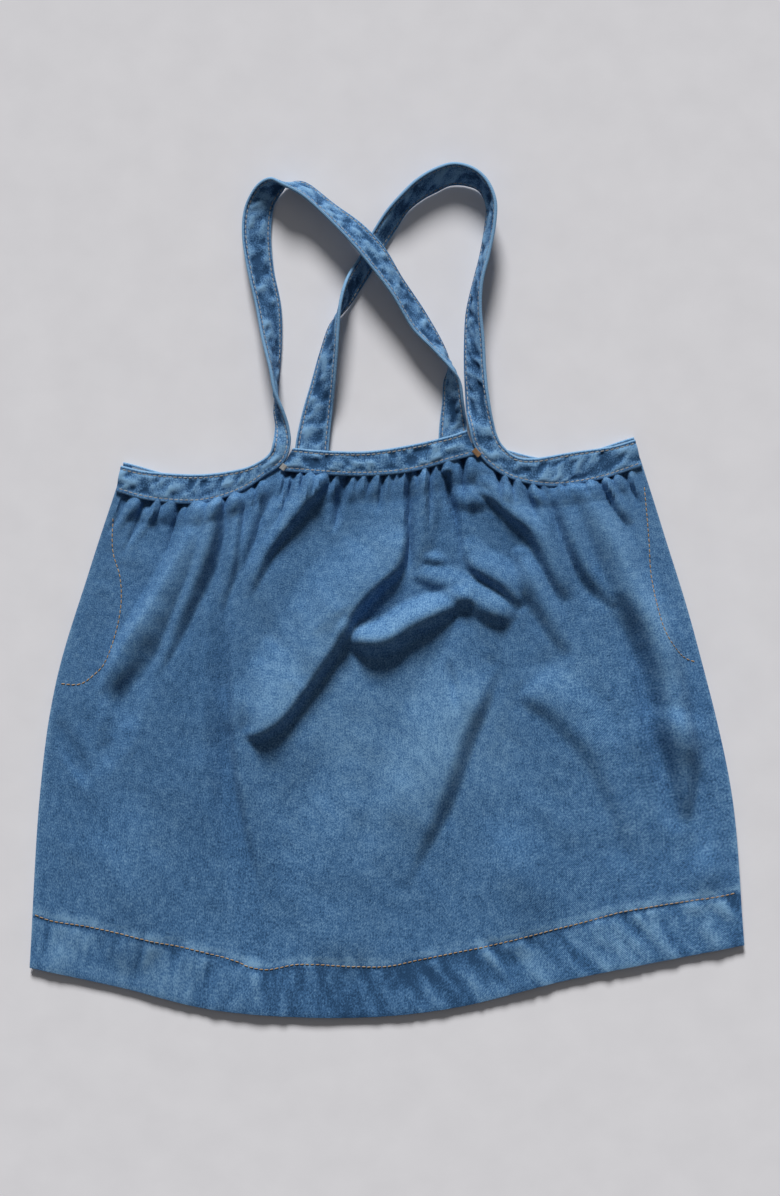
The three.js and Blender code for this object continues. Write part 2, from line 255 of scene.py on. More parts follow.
FRONT_FOLDS = (
    # the long sweep from the centre band down to the left, which ends in a blunt hook
    Fold([(12, 38, 2), (8, 26, 5), (3, 14, 6.5), (-7, 5, 7), (-17, -5, 7.5), (-26, -17, 8),
        (-33, -31, 8), (-43, -46, 7.5), (-54, -61, 7.5), (-63, -73, 7.5), (-72, -81, 7),
        (-79, -84, 5), (-86, -83, 0)], 9, 38),
    # the lip that hooks round under the middle of the front
    Fold([(-22, -25, 3), (-15, -28.5, 7.5), (-5, -29, 9), (3, -26, 9), (12, -20, 8.5), (22, -15, 8),
        (33, -10, 6), (44, -5, 3), (52, -2, 0)], 14, 12),
    # the ridge above the lip, and the pouch that it closes
    Fold([(14, 11, 0), (22, 9, 2), (35, 4, 3), (50, -4, 4), (60, -10, 5), (68, -14, 4),
        (76, -18, 0)], 15, 10),
    Fold([(20, 19, 0), (28, 18.5, 2), (36, 16, 0)], 6, 4),
    Fold([(48, 22, 2), (54, 14, 4.5), (62, 9, 5), (70, 4, 5), (76, -3, 3.5), (79, -10, 0)], 16, 7),
    Fold([(38, 58, 0), (46, 55, 2.5), (54, 54, 2.5), (62, 51, 0)], 10, 9),
    # the upright creases under the centre band
    Fold([(13, 70, -4), (13, 50, -4.5), (13, 35, -4.5), (12.5, 24, -4), (11, 14, -1)], 4, 3.2),
    Fold([(20, 66, 2.5), (20.5, 50, 3.5), (20, 35, 3.5), (19, 22, 2.5), (18, 12, 0)], 11, 6),
    Fold([(35, 68, -4.5), (37, 57, -4.5), (40, 46, -4), (42, 36, -2.5), (44, 24, -1.5), (46, 14, 0)],
        4.5, 3.4),
    Fold([(-27, 66, -3), (-28.5, 55, -3.5), (-30, 44, -2.5), (-32, 34, 0)], 4, 4),
    # the arched fold to the right of the middle, with the shorter ridge inside it
    Fold([(58, 60, 2), (66, 55, 4.5), (76, 46, 5.5), (86, 38, 6), (93, 28, 6), (98, 17, 5),
        (103, 5, 3.5), (107, -6, 0)], 14, 8),
    Fold([(81, 21, 2), (85, 10, 5), (91, -2, 5), (97, -13, 4), (103, -25, 2.5), (110, -38, 0)], 10, 11),
    # the folds that run from the right side band down to the right
    Fold([(84, 62, 1.5), (89, 55, 2.5), (95, 44, 2), (99, 32, 0)], 7, 5),
    Fold([(102, 63, 3.5), (105, 50, 5), (109, 39, 6), (113, 27, 6), (119, 14, 5), (127, 2, 3),
        (136, -10, 0)], 9, 7.5),
    Fold([(117, 62, 4), (123, 50, 6.5), (130, 37, 8), (137, 23, 8.5), (143, 9, 9), (149, -3, 9.5),
        (157, -18, 9.5), (164, -34, 9.5), (169, -55, 9), (173, -78, 8), (177, -100, 6),
        (178, -122, 4), (180, -138, 0)], 15, 19),
    # the drop beside it, which ends in a sharp edge
    Fold([(146, -70, 0), (160, -78, 2), (176, -83, 3), (188, -88, 2.5), (197, -95, 0)], 14, 34),
    Fold([(138, 0, 0), (147, -25, -3), (154, -50, -4), (160, -85, -4.5), (165, -105, -4.5),
        (170, -128, -4), (175, -144, 0)], 11, 11),
    Fold([(180, -95, 0), (187, -118, -2.5), (190, -136, -3), (193, -148, 0)], 10, 10),
    Fold([(131, 65, 3), (135, 56, 4), (140, 48, 3.5), (146, 39, 0)], 7, 4.5),
    # the folds under the left side band
    Fold([(-108, 54, 4), (-119, 30, 6.5), (-130, 9, 7), (-143, -13, 7), (-155, -31, 6),
        (-163, -46, 4), (-171, -62, 0)], 22, 8.5),
    Fold([(-103, 53, 3), (-103.5, 38, 4.5), (-107, 22, 4.5), (-113, 6, 3.5), (-121, -12, 3),
        (-130, -32, 2), (-139, -52, 0)], 8, 8),
    Fold([(-89, 54, 3), (-90, 36, 4), (-92, 20, 4), (-95, 5, 2.5), (-99, -12, 0)], 5, 8),
    Fold([(-77, 62, 3), (-80, 45, 3.5), (-84, 28, 3), (-88, 12, 0)], 6, 6),
    Fold([(-40, 70, 4), (-44, 58, 6), (-50, 52, 6.5), (-56, 44, 6), (-64, 34, 5), (-72, 23, 4),
        (-78, 10, 2.5), (-83, -4, 0)], 6.5, 13),
    Fold([(-60, 66, 2), (-64, 54, 2.5), (-71, 42, 2), (-78, 30, 0)], 6, 5),
    Fold([(-146, -40, 0), (-155, -62, -2.5), (-160, -80, -3), (-167, -96, -2), (-173, -110, 0)], 14, 12),
    Fold([(-200, -74, 0), (-193, -88, -2.5), (-185, -102, -2.5), (-178, -118, 0)], 10, 8),
    # the long crease down the left of the front
    Fold([(-93, 20, 0), (-97, -20, -2.5), (-97, -55, -4.5), (-96, -90, -6), (-94, -115, -6.5),
        (-88, -147, -6.5), (-80, -181, -5.5), (-74, -210, -3), (-72, -222, 0)], 6, 16),
    # the soft sweeps in the lower half
    Fold([(63, -44, 0), (52, -66, 4), (43, -84, 5), (37, -100, 5.5), (31, -118, 5.5),
        (25, -134, 4.5), (17, -154, 2), (8, -178, 0)], 13, 44),
    Fold([(36, -40, 0), (39, -56, -1.6), (42, -72, 0)], 5, 4),
    Fold([(78, -60, 0), (88, -62, 2.5), (98, -66, 3.2), (106, -72, 3.2), (114, -81, 3),
        (122, -90, 2.6), (130, -104, 2.4), (137, -121, 2), (145, -142, 1.5), (154, -168, 0)], 24, 13),
    Fold([(-20, -100, 0), (-28, -150, 2.5), (-30, -205, 2)], 36, 34),
    Fold([(60, -135, 0), (75, -165, 3), (80, -200, 1.5)], 30, 30),
    Fold([(-150, -120, 0), (-155, -170, 3), (-150, -205, 2)], 30, 34),
    Fold([(190, -150, 0), (192, -168, 2.5), (190, -184, 1)], 12, 16),
)


@dataclass(frozen=True)
class Gathers:
    """The small pleats that leave a stretch of the waist seam.

    Attributes:
        start: Left end of the seam stretch, as x and y.
        end: Right end of the seam stretch.
        pleats: Where the pleats' creases lie, in shares of the stretch, each with its length in millimetres.
        fan: How far a pleat at either end leans outwards for each millimetre of its length.
        depth: Depth of the creases at the seam.
    """

    start: tuple[float, float]
    end: tuple[float, float]
    pleats: Sequence[tuple[float, float]]
    fan: tuple[float, float]
    depth: float = 3.2

    def folds(self) -> list[Fold]:
        """Return a crease for every pleat and a low ridge beside it."""
        found = []
        for share, length in self.pleats:
            x = self.start[0] + share * (self.end[0] - self.start[0])
            y = self.start[1] + share * (self.end[1] - self.start[1])
            lean = self.fan[0] + share * (self.fan[1] - self.fan[0])
            middle = (x + lean * length, y - length, -0.45 * self.depth)
            end = (x + 2.2 * lean * length, y - 2.3 * length, 0)
            found.append(Fold([(x, y + 4, -self.depth), middle, end], 3.4, 3.4))
            foot = (x + 4.5 + 2 * lean * length, y - 2 * length, 0)
            puff = [(x + 4.5, y + 2, 1.2), (x + 4.5, y - 3, 2.6), foot]
            found.append(Fold(puff, 4.5, 4.5))
        return found


GATHERS = (
    Gathers((-60, 70), (53, 78), [(0.02, 10), (0.06, 15), (0.11, 11), (0.17, 9), (0.25, 8),
        (0.34, 12), (0.39, 8), (0.45, 9), (0.52, 13), (0.57, 9), (0.61, 8), (0.7, 16), (0.76, 20),
        (0.81, 9), (0.93, 14)], (-0.45, 0.1), 7.0),
    Gathers((-160, 54), (-72, 60), [(0.2, 15), (0.24, 9), (0.31, 7), (0.44, 16), (0.49, 8),
        (0.73, 9), (0.93, 8), (0.05, 9), (0.62, 8)], (-0.6, 0.0), 6.5),
    Gathers((62, 68), (150, 70), [(0.05, 10), (0.13, 7), (0.23, 14), (0.3, 6), (0.41, 8), (0.47, 7),
        (0.61, 8), (0.72, 9), (0.8, 6), (0.9, 9)], (0.1, 0.6), 6.5),
)


class Relief:
    """The heights that a set of folds adds to the front."""

    def __init__(self, folds: Sequence[Fold]) -> None:
        """Sort the folds into ridges and creases."""
        self.ridges = [fold for fold in folds if max(point[2] for point in fold.crest) > 0]
        self.creases = [fold for fold in folds if max(point[2] for point in fold.crest) <= 0]

    def height(self, x: np.ndarray, y: np.ndarray, free: np.ndarray | float = 1.0) -> np.ndarray:
        """Return the folds' height at each place.

        Args:
            x: Places across, in millimetres.
            y: Places up, in millimetres.
            free: How far a ridge may stand out at each place, from 0 under the waistband to 1.

        Returns:
            Heights, in millimetres.
        """
        total = np.zeros(x.shape)
        for ridge in self.ridges:
            total += free * ridge.height(x, y)
        for crease in self.creases:
            total += crease.height(x, y)
        return total


# ------------------------------
# Meshes
# ------------------------------


@dataclass(frozen=True)
class SampledSurface:
    """A surface kept as a grid of points, read smoothly between them.

    Attributes:
        points: Rows of points from the waist to the hem, each from left to right.
    """

    points: np.ndarray

    def __call__(self, u: np.ndarray, v: np.ndarray) -> np.ndarray:
        """Return the surface's points at u across and v down."""
        rows, columns = self.points.shape[:2]
        (j, across), (i, down) = self._weights(u, columns), self._weights(v, rows)
        total = np.zeros((*u.shape, 3))
        for a in range(4):
            for b in range(4):
                near = self.points[np.clip(i + a - 1, 0, rows - 1), np.clip(j + b - 1, 0, columns - 1)]
                total += (down[a] * across[b])[..., None] * near
        return total

    @staticmethod
    def _weights(place: np.ndarray, count: int) -> tuple[np.ndarray, list[np.ndarray]]:
        """Return the cell of each place and the shares of the four points around it."""
        x = np.clip(place, 0, 1) * (count - 1)
        cell = np.minimum(x.astype(int), count - 2)
        t = x - cell
        return cell, [
            0.5 * (-t + 2 * t**2 - t**3),
            0.5 * (2 - 5 * t**2 + 3 * t**3),
            0.5 * (t + 4 * t**2 - 3 * t**3),
            0.5 * (-(t**2) + t**3),
        ]


def select_only(piece: bpy.types.Object) -> None:
    """Make a piece the one that operators act on."""
    bpy.ops.object.select_all(action="DESELECT")
    piece.select_set(True)
    bpy.context.view_layer.objects.active = piece


def coordinates(piece: bpy.types.Object) -> np.ndarray:
    """Return a piece's vertices as rows of three, in metres."""
    co = np.zeros(len(piece.data.vertices) * 3)
    piece.data.vertices.foreach_get("co", co)
    return co.reshape(-1, 3)


def keep_attribute(piece: bpy.types.Object, name: str, values: np.ndarray) -> None:
    """Store one number for each vertex under a name that a finish can read."""
    layer = piece.data.attributes.new(name, "FLOAT", "POINT")
    layer.data.foreach_set("value", np.asarray(values, np.float32).ravel())


def cloth_grid(
    name: str, surface: SURFACE, cells: tuple[int, int]
) -> tuple[bpy.types.Object, np.ndarray, np.ndarray]:
    """Lay a grid on a surface.

    Args:
        name: The piece's name.
        surface: The surface, in millimetres.
        cells: Cells across and along.

    Returns:
        The piece, and the u and v of its vertices.
    """
    bpy.ops.object.select_all(action="DESELECT")
    bpy.ops.mesh.primitive_grid_add(x_subdivisions=cells[0], y_subdivisions=cells[1], size=1)
    piece = bpy.context.object
    piece.name = piece.data.name = name
    flat = coordinates(piece)
    u, v = flat[:, 0] + 0.5, 0.5 - flat[:, 1]
    piece.data.vertices.foreach_set("co", (surface(u, v) * MM).ravel())
    piece.data.update()
    return piece, u, v


def spread_uv(piece: bpy.types.Object, u: np.ndarray, v: np.ndarray, cut: tuple[float, float]) -> None:
    """Give every corner the place in the flat cut that its vertex has, in metres."""
    loops = np.zeros(len(piece.data.loops), int)
    piece.data.loops.foreach_get("vertex_index", loops)
    flat = np.stack([u * cut[0], (1 - v) * cut[1]], axis=1)[loops]
    piece.data.uv_layers.active.data.foreach_set("uv", flat.astype(np.float32).ravel())


def apply_modifier(piece: bpy.types.Object, kind: str, **settings: object) -> None:
    """Add a modifier with its settings and apply it."""
    modifier = piece.modifiers.new(kind.title(), kind)
    for key, value in settings.items():
        setattr(modifier, key, value)
    select_only(piece)
    bpy.ops.object.modifier_apply(modifier=modifier.name)


def cloth_layer(
    name: str,
    surface: SURFACE,
    cells: tuple[int, int],
    cut: tuple[float, float],
    thickness: float = CLOTH,
    wear: Callable[[np.ndarray], np.ndarray] | None = None,
) -> bpy.types.Object:
    """Make one layer of cloth, centred on a surface.

    Args:
        name: The piece's name.
        surface: The middle of the layer, in millimetres.
        cells: Cells across and along.
        cut: The flat cut's width and length, in metres.
        thickness: The layer's thickness, in millimetres.
        wear: How worn the cloth is at each point, from 0 to 1, or below 0 where it stayed dark; on the skirt's
            front it also holds painted shade in fold creases and painted highlight on fold ridges.

    Returns:
        The finished mesh.
    """
    piece, u, v = cloth_grid(name, surface, cells)
    spread_uv(piece, u, v, cut)
    keep_attribute(piece, "wear", np.zeros(len(u)) if wear is None else wear(coordinates(piece) / MM))
    apply_modifier(piece, "SOLIDIFY", thickness=thickness * MM, offset=0.0)
    select_only(piece)
    bpy.ops.object.shade_smooth_by_angle(angle=math.radians(50))
    return piece


def mesh_piece(name: str, vertices: np.ndarray, faces: Sequence[Sequence[int]]) -> bpy.types.Object:
    """Make a piece from vertices in metres and faces."""
    mesh = bpy.data.meshes.new(name)
    mesh.from_pydata(vertices.tolist(), [], faces)
    piece = bpy.data.objects.new(name, mesh)
    bpy.context.scene.collection.objects.link(piece)
    return piece


def outward(piece: bpy.types.Object) -> None:
    """Turn every face of a closed piece outwards and shade it smooth."""
    select_only(piece)
    bpy.ops.object.mode_set(mode="EDIT")
    bpy.ops.mesh.select_all(action="SELECT")
    bpy.ops.mesh.normals_make_consistent(inside=False)
    bpy.ops.object.mode_set(mode="OBJECT")
    bpy.ops.object.shade_smooth_by_angle(angle=math.radians(60))


# ------------------------------
# Cloth that settles
# ------------------------------


@dataclass(frozen=True)
class Settling:
    """How the skirt's front settles on what is under it.

    Attributes:
        cells: Cells of the simulated sheet, across and down.
        frames: Steps of the simulation.
        growth: How much larger the sheet would be if nothing held it, which is what keeps its folds full.
        rest_height: Height of the layers that it can sink onto.
    """

    cells: tuple[int, int] = (168, 124)
    frames: int = 26
    growth: float = 0.004
    rest_height: float = 2.5

    def run(self, surface: SURFACE, held: Callable[[np.ndarray, np.ndarray], np.ndarray]) -> SampledSurface:
        """Let a sheet settle.

        Args:
            surface: The sheet as it is laid down.
            held: How firmly each u and v is held in place, from 0 to 1.

        Returns:
            The settled sheet.
        """
        piece, u, v = cloth_grid("settling_sheet", surface, self.cells)
        group = piece.vertex_groups.new(name="held")
        for index, weight in enumerate(held(u, v)):
            if weight > 0:
                group.add([index], float(weight), "REPLACE")
        bpy.ops.mesh.primitive_plane_add(size=1, location=(0, 0, self.rest_height * MM))
        table = bpy.context.object
        table.modifiers.new("Collision", "COLLISION")
        table.collision.thickness_outer = 0.0005
        cloth = piece.modifiers.new("Cloth", "CLOTH")
        cloth.settings.quality = 6
        cloth.settings.mass = 0.02
        cloth.settings.tension_stiffness = cloth.settings.compression_stiffness = 30
        cloth.settings.shear_stiffness = 12
        cloth.settings.bending_stiffness = 6
        cloth.settings.air_damping = 2
        cloth.settings.shrink_min = cloth.settings.shrink_max = -self.growth
        cloth.settings.vertex_group_mass = "held"
        cloth.settings.effector_weights.gravity = 0.06
        cloth.collision_settings.distance_min = 0.001
        cloth.collision_settings.use_self_collision = False
        cloth.point_cache.frame_start, cloth.point_cache.frame_end = 1, self.frames
        for step in range(1, self.frames + 1):
            bpy.context.scene.frame_set(step)
        select_only(piece)
        bpy.ops.object.modifier_apply(modifier=cloth.name)
        order = np.lexsort((np.round(u, 5), np.round(v, 5)))
        settled = (coordinates(piece) / MM)[order].reshape(self.cells[1] + 1, self.cells[0] + 1, 3)
        for used in (piece, table):
            bpy.data.objects.remove(used)
        bpy.context.scene.frame_set(1)
        return SampledSurface(settled)


# ------------------------------
# Sewn strips and stitches
# ------------------------------


@dataclass
class Strip:
    """A strip of denim folded on itself and stitched along both edges.

    Attributes:
        near: One edge, from the strip's first end to its last.
        far: The other edge, point for point beside the first.
        spacing: Distance between rows of vertices.
        inset: Distance from each edge to its row of stitches.
        fullness: Thickness of the folded edges.
        thickness: Thickness between the rows of stitches.
        pucker: Height of the puckers that the stitches draw.
        seed: Seed of the puckers' irregularity.
    """

    near: POINTS
    far: POINTS
    spacing: float = 1.1
    inset: float = 2.2
    fullness: float = 2.1
    thickness: float = 1.7
    pucker: float = 0.8
    seed: int = 1
    middle: np.ndarray = field(init=False)
    across: np.ndarray = field(init=False)
    normal: np.ndarray = field(init=False)
    half_width: np.ndarray = field(init=False)
    run: np.ndarray = field(init=False)

    def __post_init__(self) -> None:
        """Work out evenly spaced stations and the directions at each."""
        dense = np.linspace(0, 1, 60 * len(self.near))
        near, far = smooth_curve(self.near, dense), smooth_curve(self.far, dense)
        middle = (near + far) / 2
        run = np.concatenate([[0], np.cumsum(np.linalg.norm(np.diff(middle, axis=0), axis=1))])
        self.run = np.linspace(0, run[-1], int(run[-1] / self.spacing) + 1)
        near, far = ([np.interp(self.run, run, edge[:, k]) for k in range(3)] for edge in (near, far))
        near, far = np.stack(near, axis=1), np.stack(far, axis=1)
        self.middle = (near + far) / 2
        self.half_width = np.linalg.norm(far - near, axis=1) / 2
        self.across = (far - near) / (2 * self.half_width[:, None])
        along = np.gradient(self.middle, axis=0)
        normal = np.cross(self.across, along)
        self.normal = normal / np.linalg.norm(normal, axis=1)[:, None]

    @property
    def length(self) -> float:
        """Return the strip's length in millimetres."""
        return float(self.run[-1])

    def profile(self, inset: np.ndarray) -> np.ndarray:
        """Return half the thickness at a distance from the nearer edge: full, dented at the stitches, flat."""
        edge = self.fullness / 2
        rounded = edge * np.sqrt(np.clip(1 - (1 - np.clip(inset / edge, 0, 1)) ** 2, 0, 1))
        body = edge + (self.thickness / 2 - edge) * smoothstep(0.6 * self.inset, 1.5 * self.inset, inset)
        dent = 0.32 * np.exp(-(((inset - self.inset) / 0.45) ** 2))
        return np.minimum(rounded, body) - dent

    def build(self, name: str) -> bpy.types.Object:
        """Make the strip.

        Args:
            name: The piece's name.

        Returns:
            A closed mesh with its place in the flat strip as UV, and its worn edges as an attribute.
        """
        random = np.random.RandomState(self.seed)
        insets = np.array([0, 0.3, 0.75, 1.3, 1.8, 2.2, 2.6, 3.2, 4.2, 5.4, 6.6, 7.8])
        count = len(self.run)
        sides, wears = [], []
        share = np.concatenate([insets, -insets[::-1]])
        offset = np.sign(share + (share == 0))[None, :] * (self.half_width[:, None] - np.abs(share)[None, :])
        offset[:, 0], offset[:, -1] = self.half_width, -self.half_width
        inset = self.half_width[:, None] - np.abs(offset)
        middle = smoothstep(self.inset - 0.4, self.inset + 2.2, inset)
        run = self.run[:, None]
        for side in (1, -1):
            hills = [Hills(int(number)) for number in random.randint(0, 9999, 2)]
            wave = (
                1.15 * hills[0].at((run + 0.5 * offset) / 3.6 + 20, offset / 3.6 + 30)
                + 0.75 * hills[1].at((run - 0.35 * offset) / 7.5 + 20, offset / 5 + 30)
            )
            high = self.profile(inset) + self.pucker * wave * middle
            sides.append(
                self.middle[:, None] + self.across[:, None] * offset[..., None]
                + side * self.normal[:, None] * high[..., None]
            )
            beside = inset - self.inset - 0.8
            edge = 1.9 * np.exp(-((inset / 0.85) ** 2)) + 0.6 * np.exp(-((beside / 0.45) ** 2))
            dark = 0.6 * np.exp(-(((inset - 1.35) / 0.3) ** 2)) + 0.12 * middle
            wears.append(edge - dark + 1.2 * wave * middle)
        ring = np.concatenate([sides[0], sides[1][:, -2:0:-1]], axis=1)
        worn = np.concatenate([wears[0], wears[1][:, -2:0:-1]], axis=1)
        around = ring.shape[1]
        i, j = np.meshgrid(np.arange(count - 1), np.arange(around), indexing="ij")
        a, b = i * around + j, i * around + (j + 1) % around
        faces = np.stack([a, b, b + around, a + around], axis=-1).reshape(-1, 4).tolist()
        faces += [list(range(around))[::-1], [(count - 1) * around + k for k in range(around)]]
        piece = mesh_piece(name, ring.reshape(-1, 3) * MM, faces)
        keep_attribute(piece, "wear", worn)
        across = np.einsum("ijk,ik->ij", ring - self.middle[:, None], self.across)
        along = np.broadcast_to(self.run[:, None], across.shape)
        flat = np.stack([across, along], axis=-1).reshape(-1, 2) * MM
        loops = np.zeros(len(piece.data.loops), int)
        piece.data.loops.foreach_get("vertex_index", loops)
        layer = piece.data.uv_layers.new(name="UVMap")
        layer.data.foreach_set("uv", flat[loops].astype(np.float32).ravel())
        outward(piece)
        return piece

    def row(self, edge: int, face: int, start: float, end: float) -> tuple[np.ndarray, np.ndarray]:
        """Return the line of a row of stitches.

        Args:
            edge: 1 for the far edge, -1 for the near one.
            face: 1 or -1, the face that the row lies on.
            start: Where the row starts along the strip.
            end: Where it ends.

        Returns:
            Points on the face and the directions square to it.
        """
        use = (self.run >= start) & (self.run <= end)
        offset = edge * (self.half_width[use] - self.inset)
        lift = face * (self.profile(np.full(offset.shape, self.inset)) + 0.1)
        points = self.middle[use] + self.across[use] * offset[:, None] + self.normal[use] * lift[:, None]
        return points, self.normal[use] * face


@dataclass(frozen=True)
class Stitching:
    """Lockstitch in thick thread.

    Attributes:
        length: Length of one stitch.
        pitch: Distance from one stitch to the next.
        width: Width of the thread.
        seed: Seed of the small differences between stitches.
    """

    length: float = 2.5
    pitch: float = 3.1
    width: float = 0.72
    seed: int = 7

    def build(self, name: str, rows: Sequence[tuple[np.ndarray, np.ndarray]]) -> bpy.types.Object:
        """Make every stitch of some rows as one piece.

        Args:
            name: The piece's name.
            rows: Each row's points and the directions square to the cloth there.

        Returns:
            The stitches.
        """
        base, faces = self._one()
        random = np.random.RandomState(self.seed)
        vertices, polygons = [], []
        for points, normals in rows:
            run = np.concatenate([[0], np.cumsum(np.linalg.norm(np.diff(points, axis=0), axis=1))])
            for place in np.arange(self.pitch / 2, run[-1] - self.pitch / 2, self.pitch):
                ends = [[np.interp(place + d, run, points[:, k]) for k in range(3)] for d in (-0.9, 0, 0.9)]
                first, middle, last = np.array(ends)
                along = (last - first) / np.linalg.norm(last - first)
                normal = np.array([np.interp(place, run, normals[:, k]) for k in range(3)])
                normal -= along * (normal @ along)
                normal /= np.linalg.norm(normal)
                across = np.cross(normal, along)
                lean = random.uniform(0.02, 0.12)
                along, across = along + lean * across, across - lean * along
                size = self.length * random.uniform(0.93, 1.05)
                axes = np.array([along * size, across * self.width, normal * self.width * 0.8])
                stitch = middle + base @ axes
                polygons.extend([[k + len(vertices) * len(base) for k in face] for face in faces])
                vertices.append(stitch)
        piece = mesh_piece(name, np.concatenate(vertices) * MM, polygons)
        keep_attribute(piece, "wear", np.zeros(len(piece.data.vertices)))
        select_only(piece)
        bpy.ops.object.shade_smooth()
        return piece

    @staticmethod
    def _one() -> tuple[np.ndarray, list[list[int]]]:
        """Return one stitch of unit length, width and height: its vertices and faces."""
        bpy.ops.object.select_all(action="DESELECT")
        lying = (0, math.pi / 2, 0)
        bpy.ops.mesh.primitive_uv_sphere_add(segments=6, ring_count=5, radius=0.5, rotation=lying)
        ball = bpy.context.object
        bpy.ops.object.transform_apply(location=False, rotation=True, scale=False)
        base = coordinates(ball)
        base[:, 0] = 0.5 * np.sign(base[:, 0]) * np.abs(2 * base[:, 0]) ** 0.7
        faces = [list(face.vertices) for face in ball.data.polygons]
        bpy.data.objects.remove(ball)
        return base, faces


# ------------------------------
# Finishes
# ------------------------------


@dataclass(frozen=True)
class Signal:
    """A node's output in an expression; every operator adds a Math node."""

    shader: "Shader"
    socket: bpy.types.NodeSocket

    def _with(self, operation: str, first: "Signal | float", second: "Signal | float") -> "Signal":
        """Return the result of a Math node."""
        return self.shader.node("ShaderNodeMath", {"operation": operation}, {0: first, 1: second})

    def __add__(self, other: "Signal | float") -> "Signal":
        """Return the sum."""
        return self._with("ADD", self, other)

    def __radd__(self, other: float) -> "Signal":
        """Return the sum."""
        return self._with("ADD", other, self)

    def __sub__(self, other: "Signal | float") -> "Signal":
        """Return the difference."""
        return self._with("SUBTRACT", self, other)

    def __rsub__(self, other: float) -> "Signal":
        """Return the difference."""
        return self._with("SUBTRACT", other, self)

    def __mul__(self, other: "Signal | float") -> "Signal":
        """Return the product."""
        return self._with("MULTIPLY", self, other)

    def __rmul__(self, other: float) -> "Signal":
        """Return the product."""
        return self._with("MULTIPLY", other, self)


class Shader:
    """A material's node tree, built by expressions."""

    def __init__(self, name: str) -> None:
        """Start an empty material."""
        self.material = bpy.data.materials.new(name)
        self.material.use_nodes = True
        self.tree = self.material.node_tree
        self.tree.nodes.clear()

    def node(
        self, kind: str, settings: dict[str, object], sockets: dict[int | str, object], output: int | str = 0
    ) -> Signal:
        """Add a node.

        Args:
            kind: The node's type.
            settings: The node's properties, and a ramp's stops as places and colours.
            sockets: Values or links of its input sockets.
            output: The output that the expression goes on from.

        Returns:
            The chosen output.
        """
        made = self.tree.nodes.new(kind)
        for key, value in settings.items():
            if key == "stops":
                ramp = made.color_ramp
                while len(ramp.elements) < len(value):
                    ramp.elements.new(0.5)
                for element, (place, colour) in zip(ramp.elements, value):
                    element.position = place
                    element.color = (*colour, 1)
            else:
                setattr(made, key, value)
        for key, value in sockets.items():
            if isinstance(value, Signal):
                self.tree.links.new(value.socket, made.inputs[key])
            else:
                made.inputs[key].default_value = value
        return Signal(self, made.outputs[output]) if made.outputs else None

    def flat_cut(self) -> Signal:
        """Return the place in the flat cut, in metres."""
        return self.node("ShaderNodeUVMap", {"uv_map": "UVMap"}, {})

    def place(self) -> Signal:
        """Return the place on the object, in metres."""
        return self.node("ShaderNodeTexCoord", {}, {}, "Object")

    def stretched(self, vector: Signal, scale: tuple[float, float, float], turn: float = 0) -> Signal:
        """Scale and turn a vector."""
        sockets = {"Vector": vector, "Scale": scale, "Rotation": (0, 0, turn)}
        return self.node("ShaderNodeMapping", {"vector_type": "POINT"}, sockets)

    def noise(self, vector: Signal, scale: float, detail: float = 2, roughness: float = 0.5) -> Signal:
        """Return noise from 0 to 1."""
        sockets = {"Vector": vector, "Scale": scale, "Detail": detail, "Roughness": roughness}
        return self.node("ShaderNodeTexNoise", {}, sockets)

    def worn(self) -> Signal:
        """Return the wear attribute: how worn the cloth is, from 0 to 1, with painted shade in the skirt
        front's fold creases and painted highlight on its fold ridges.
        """
        return self.node("ShaderNodeAttribute", {"attribute_name": "wear"}, {}, "Fac")

    def finish(
        self, colour: Signal, roughness: Signal | float, relief: Signal, depth: float, **shader: float
    ) -> None:
        """Close the tree with a surface.

        Args:
            colour: The base colour.
            roughness: The roughness.
            relief: Height of the surface's texture, from 0 to 1.
            depth: Metres that a height of 1 stands for.
            shader: Values of the shader's other sockets.
        """
        normal = self.node("ShaderNodeBump", {}, {"Strength": 0.9, "Distance": depth, "Height": relief})
        sockets = {"Base Color": colour, "Roughness": roughness, "Normal": normal, **shader}
        surface = self.node("ShaderNodeBsdfPrincipled", {}, sockets)
        self.node("ShaderNodeOutputMaterial", {}, {"Surface": surface})


COLOUR = tuple[float, float, float]


